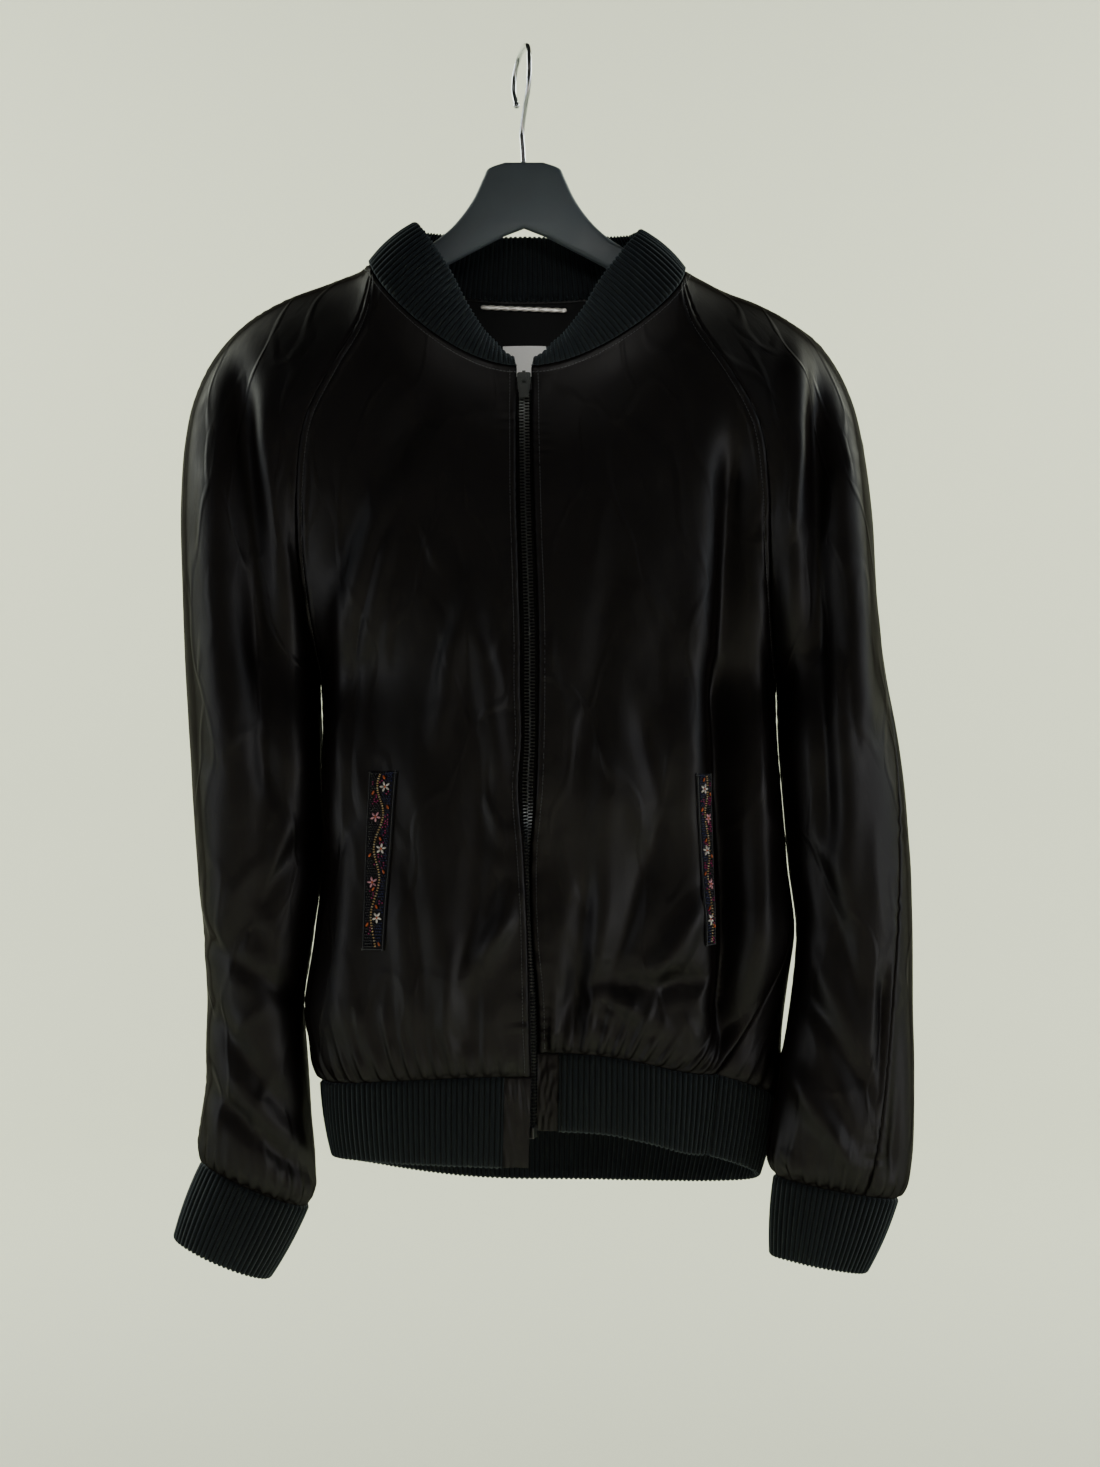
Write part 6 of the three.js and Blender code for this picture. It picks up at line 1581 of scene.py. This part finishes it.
def beadPlan(width, length, seed):
    # (across, down, angle, size, tint, kind) of every bead, in millimetres on the flat welt
    chance = np.random.default_rng(seed)
    beads, taken = [], []
    inner = weltSizes["border"] + 1.2

    def put(u, v, angle, size, tint, kind, room):
        beads.append((u, v, angle, size, tint, kind))
        taken.append((u, v, room))

    def stem(v):
        sway = (width / 2 - inner - 3.2) * 0.75
        return width / 2 + sway * math.sin(v * math.pi / weltSizes["rosetteApart"])

    for k, v in enumerate(np.arange(13, length - 6, weltSizes["rosetteApart"])):
        u = width - stem(v)
        put(u, v, 0, 1.15, "orange", "seed", 1.1)
        for petal in range(5):
            a = petal * 2 * math.pi / 5 + 0.4 * k
            tint = "pink" if k % 2 else "white"
            put(u + 2.25 * math.cos(a), v + 2.25 * math.sin(a), a, 0.85, tint, "rice", 1.5)
    for v in np.arange(3.5, length - 3, 1.75):
        u = stem(v)
        if all(math.hypot(u - p, v - q) > room + 0.7 for p, q, room in taken):
            slope = math.atan2(1.75, stem(v + 1.75) - u)
            put(u, v, slope, 0.95, "gold" if int(v / 1.75) % 4 else "beige", "seed", 0.8)
    for k, v in enumerate(np.arange(6, length - 5, weltSizes["rosetteApart"] / 2)):
        u = np.clip(stem(v) + (3.6 if k % 2 else -3.6), inner + 1, width - inner - 1)
        if all(math.hypot(u - p, v - q) > room + 1.3 for p, q, room in taken):
            put(u, v, 1.1 if k % 2 else -1.1, 0.8, "orange", "rice", 1.4)
    for k in range(int(length / 5)):
        u, v = chance.uniform(inner, width - inner), chance.uniform(4, length - 4)
        for bead in range(5):
            a = bead * 2.4
            p, q = u + 1.2 * math.sqrt(bead) * math.cos(a), v + 1.2 * math.sqrt(bead) * math.sin(a)
            isFree = all(math.hypot(p - s, q - t) > room + 0.62 for s, t, room in taken)
            if inner < p < width - inner and isFree:
                put(p, q, a, 0.8, "magenta", "seed", 0.7)
    rows = int((length - 3) / weltSizes["pitch"])
    for row in range(rows):
        v = 2 + row * weltSizes["pitch"]
        start = inner + (row % 2) * weltSizes["pitch"] / 2
        for u in np.arange(start, width - inner + 0.3, weltSizes["pitch"]):
            if all(math.hypot(u - p, v - q) > room + 0.62 for p, q, room in taken):
                tint = "navy" if u < width * 0.42 + chance.normal(0, 0.6) else "black"
                beads.append((u, v, chance.normal(1.57, 0.15), chance.normal(0.93, 0.05), tint, "seed"))
    return beads


for number, side in enumerate("rl"):
    surface, out = weltGrid(side)
    face = surface + out * (weltSizes["gap"] + weltSizes["thickness"] - 0.7)
    uv = np.stack([lengths(face, 1), lengths(face, 0)], -1)
    turn = 1 if side == "r" else -1
    welt = clothMesh(f"welt_{side}_cloth", face, turn, uv)
    if np.dot(np.array(welt.data.polygons[300].normal), out[20, 7]) < 0:
        welt.data.flip_normals()
    wall = welt.modifiers.new("wall", "SOLIDIFY")
    wall.thickness, wall.offset = (weltSizes["thickness"] - 0.7) * mm, -1
    edge = welt.modifiers.new("edge", "BEVEL")
    edge.width, edge.segments, edge.limit_method = 0.45 * mm, 3, "ANGLE"
    applied(welt)
    settle(welt, "jacket", weltCloth, "beaded_welt", "welt_" + side)

    width, length = float(uv[:, -1, 0].mean()), float(uv[-1, :, 1].mean())
    plan = beadPlan(width, length, 40 + number)
    place = np.array([(u / width * 14, v / length * 71) for u, v, *_ in plan])
    i = np.minimum(place[:, 1].astype(int), 70)
    j = np.minimum(place[:, 0].astype(int), 13)
    fi, fj = (place[:, 1] - i)[:, None], (place[:, 0] - j)[:, None]
    at, up, rightward, down = [
        mix(mix(g[i, j], g[i, j + 1], fj), mix(g[i + 1, j], g[i + 1, j + 1], fj), fi)
        for g in (face, out, unit(np.gradient(face, axis=1)), unit(np.gradient(face, axis=0)))]
    angles = np.array([b[2] for b in plan])[:, None]
    lie = rightward * np.cos(angles) + down * np.sin(angles)
    grow = np.array([b[3] for b in plan])
    shade = np.random.default_rng(number).uniform(0.8, 1.15, (len(plan), 1))
    tint = np.array([beadTints[b[4]] for b in plan]) * shade
    for kind, shape, lift in (("seed", seedBead, 0.55), ("rice", riceBead, 0.75)):
        chosen = np.array([b[5] == kind for b in plan])
        points = carrier(f"beads_{kind}_{side}", (at + up * lift)[chosen], outwards=up[chosen],
                         lie=lie[chosen], grow=grow[chosen], tint=tint[chosen])
        runTree(points, onPoints, pitch=0.0, shape=shape, finish=beadGlass)
        settle(points, "jacket", beadGlass, "beaded_welt")
    # overcast stitches bind the edge
    rim = np.vstack([face[:, 0], face[-1, 1:], face[::-1, -1][1:], face[0, ::-1][1:]])
    rimOut = np.vstack([out[:, 0], out[-1, 1:], out[::-1, -1][1:], out[0, ::-1][1:]])
    middle = np.vstack([face[:, 1], face[-1, 1:] * 0 + face[-2, 1:], face[::-1, -2][1:], face[1, ::-1][1:]])
    border = rim + unit(middle - rim) * 0.9 + rimOut * 0.25
    binding = pathCarrier(f"welt_binding_{side}", [(border, rimOut)])
    runTree(binding, followPath, pitch=1.5 * mm, shape=stitchShape, finish=thread)
    settle(binding, "jacket", thread, "beaded_welt")
print("welts made")


# camera, light and backdrop
camera = bpy.data.objects.new("camera", bpy.data.cameras.new("camera"))
bpy.context.scene.collection.objects.link(camera)
camera.location = (0.0192, -1.5, -0.5058)
camera.rotation_euler = (math.radians(90), 0, 0)
camera.data.lens, camera.data.sensor_width = 49.74, 36
camera.data.clip_start, camera.data.clip_end = 0.05, 30
bpy.context.scene.camera = camera


def softLight(name, place, aim, size, power, colour):
    light = bpy.data.lights.new(name, "AREA")
    light.shape, light.size, light.size_y = "RECTANGLE", size[0], size[1]
    light.energy, light.color = power, srgb(colour)[:3]
    lamp = bpy.data.objects.new(name, light)
    lamp.location = place
    lamp.rotation_euler = (Vector(aim) - Vector(place)).to_track_quat("-Z", "Y").to_euler()
    lamp.visible_camera = False
    bpy.context.scene.collection.objects.link(lamp)


softLight("windowLeft", (-2.4, 0.3, 0.4), (0, 0, -0.45), (0.8, 1.8), 12, "#dae6f4")
softLight("windowRight", (2.3, -0.2, 0.4), (0, 0, -0.45), (0.9, 1.8), 16, "#dfeaf4")
softLight("lowBounce", (0.1, -1.3, -1.25), (0, -0.1, -0.75), (2.6, 0.6), 3.4, "#f6ded6")
softLight("sideLeft", (-2.2, -0.95, -0.85), (-0.15, 0, -0.75), (0.8, 1.2), 9, "#e2e4ec")
softLight("sideRight", (2.1, -1.2, -0.85), (0.2, 0, -0.75), (0.9, 1.2), 12, "#e6e4e8")
softLight("roomFront", (-0.4, -2.6, 0.9), (0, 0, -0.3), (1.6, 0.8), 1.1, "#f0e4e6")
softLight("wallLeft", (-2.2, 1.0, 1.0), (-0.3, 3.5, -0.4), (1.6, 1.6), 120, "#f6faea")
softLight("wallRight", (2.2, 1.0, 1.0), (0.3, 3.5, -0.4), (1.6, 1.6), 120, "#f6faea")

# a narrow beam over the collar's front, for the label and the loop inside the neck
beam = bpy.data.lights.new("neckLamp", "SPOT")
beam.energy, beam.color, beam.shadow_soft_size = 34, srgb("#f6f6f2")[:3], 0.05
beam.spot_size, beam.spot_blend = math.radians(6.5), 0.9
neckLamp = bpy.data.objects.new("neckLamp", beam)
neckLamp.location = (0.06, -1.4, 0.12)
aim = Vector((0.012, 0.03, -0.212)) - neckLamp.location
neckLamp.rotation_euler = aim.to_track_quat("-Z", "Y").to_euler()
neckLamp.visible_camera = False
bpy.context.scene.collection.objects.link(neckLamp)

world = bpy.data.worlds.new("room")
bpy.context.scene.world = world
world.use_nodes = True
world.node_tree.nodes["Background"].inputs[0].default_value = srgb("#d9dcd3")
world.node_tree.nodes["Background"].inputs[1].default_value = 0.03


def studioShell():
    # a pale floor that turns up into a wall all round, far enough out to walk the camera round the jacket
    profile = [(0, -1.3), (2.6, -1.3), (2.9, -1.26), (3.15, -1.14), (3.35, -0.95), (3.5, -0.65),
        (3.55, 0), (3.55, 2.6)]
    count = 64
    ring = [(radius * math.cos(a), radius * math.sin(a), height) for radius, height in profile[1:]
            for a in np.linspace(0, 2 * math.pi, count, endpoint=False)]
    points = [(0, 0, profile[0][1]), *ring]
    faces = [(0, 1 + i, 1 + (i + 1) % count) for i in range(count)]
    for row in range(len(profile) - 2):
        start = 1 + row * count
        faces += [(start + i, start + count + i, start + count + (i + 1) % count, start + (i + 1) % count)
                  for i in range(count)]
    mesh = bpy.data.meshes.new("studio")
    mesh.from_pydata(points, [], faces)
    mesh.polygons.foreach_set("use_smooth", [True] * len(mesh.polygons))
    shell = bpy.data.objects.new("studio", mesh)
    bpy.context.scene.collection.objects.link(shell)
    material, tree = newMaterial("palePlaster")
    place = node(tree, "ShaderNodeTexCoord").outputs["Object"]
    grain = node(tree, "ShaderNodeTexNoise", {"Vector": place, "Scale": 220.0, "Detail": 3.0}).outputs[0]
    bump = node(tree, "ShaderNodeBump", {"Strength": 0.15, "Distance": 0.001, "Height": grain}).outputs[0]
    # the floor and the wall behind the jacket are pale plaster; the wall on the side that the jacket faces is
    # painted dark grey, painted shade that stands for the dark room in front, so that the satin front mirrors
    # little light
    apart = node(tree, "ShaderNodeSeparateXYZ", {0: place})
    depth = node(tree, "ShaderNodeMapRange", {0: apart.outputs["Y"], 1: -0.5, 2: 1.2},
        interpolation_type="SMOOTHSTEP").outputs[0]
    low = node(tree, "ShaderNodeMapRange", {0: apart.outputs["Z"], 1: -1.1, 2: -1.3},
        interpolation_type="SMOOTHSTEP").outputs[0]
    pale = node(tree, "ShaderNodeMath", {0: depth, 1: low}, operation="MAXIMUM").outputs[0]
    colour = node(tree, "ShaderNodeMix", {0: pale, 6: srgb("#504b4d"), 7: srgb("#d9dbcb")},
        data_type="RGBA").outputs[2]
    shader = node(tree, "ShaderNodeBsdfPrincipled", {"Base Color": colour, "Roughness": 0.9, "Normal": bump})
    finishMaterial(tree, shader)
    mesh.materials.append(material)


studioShell()
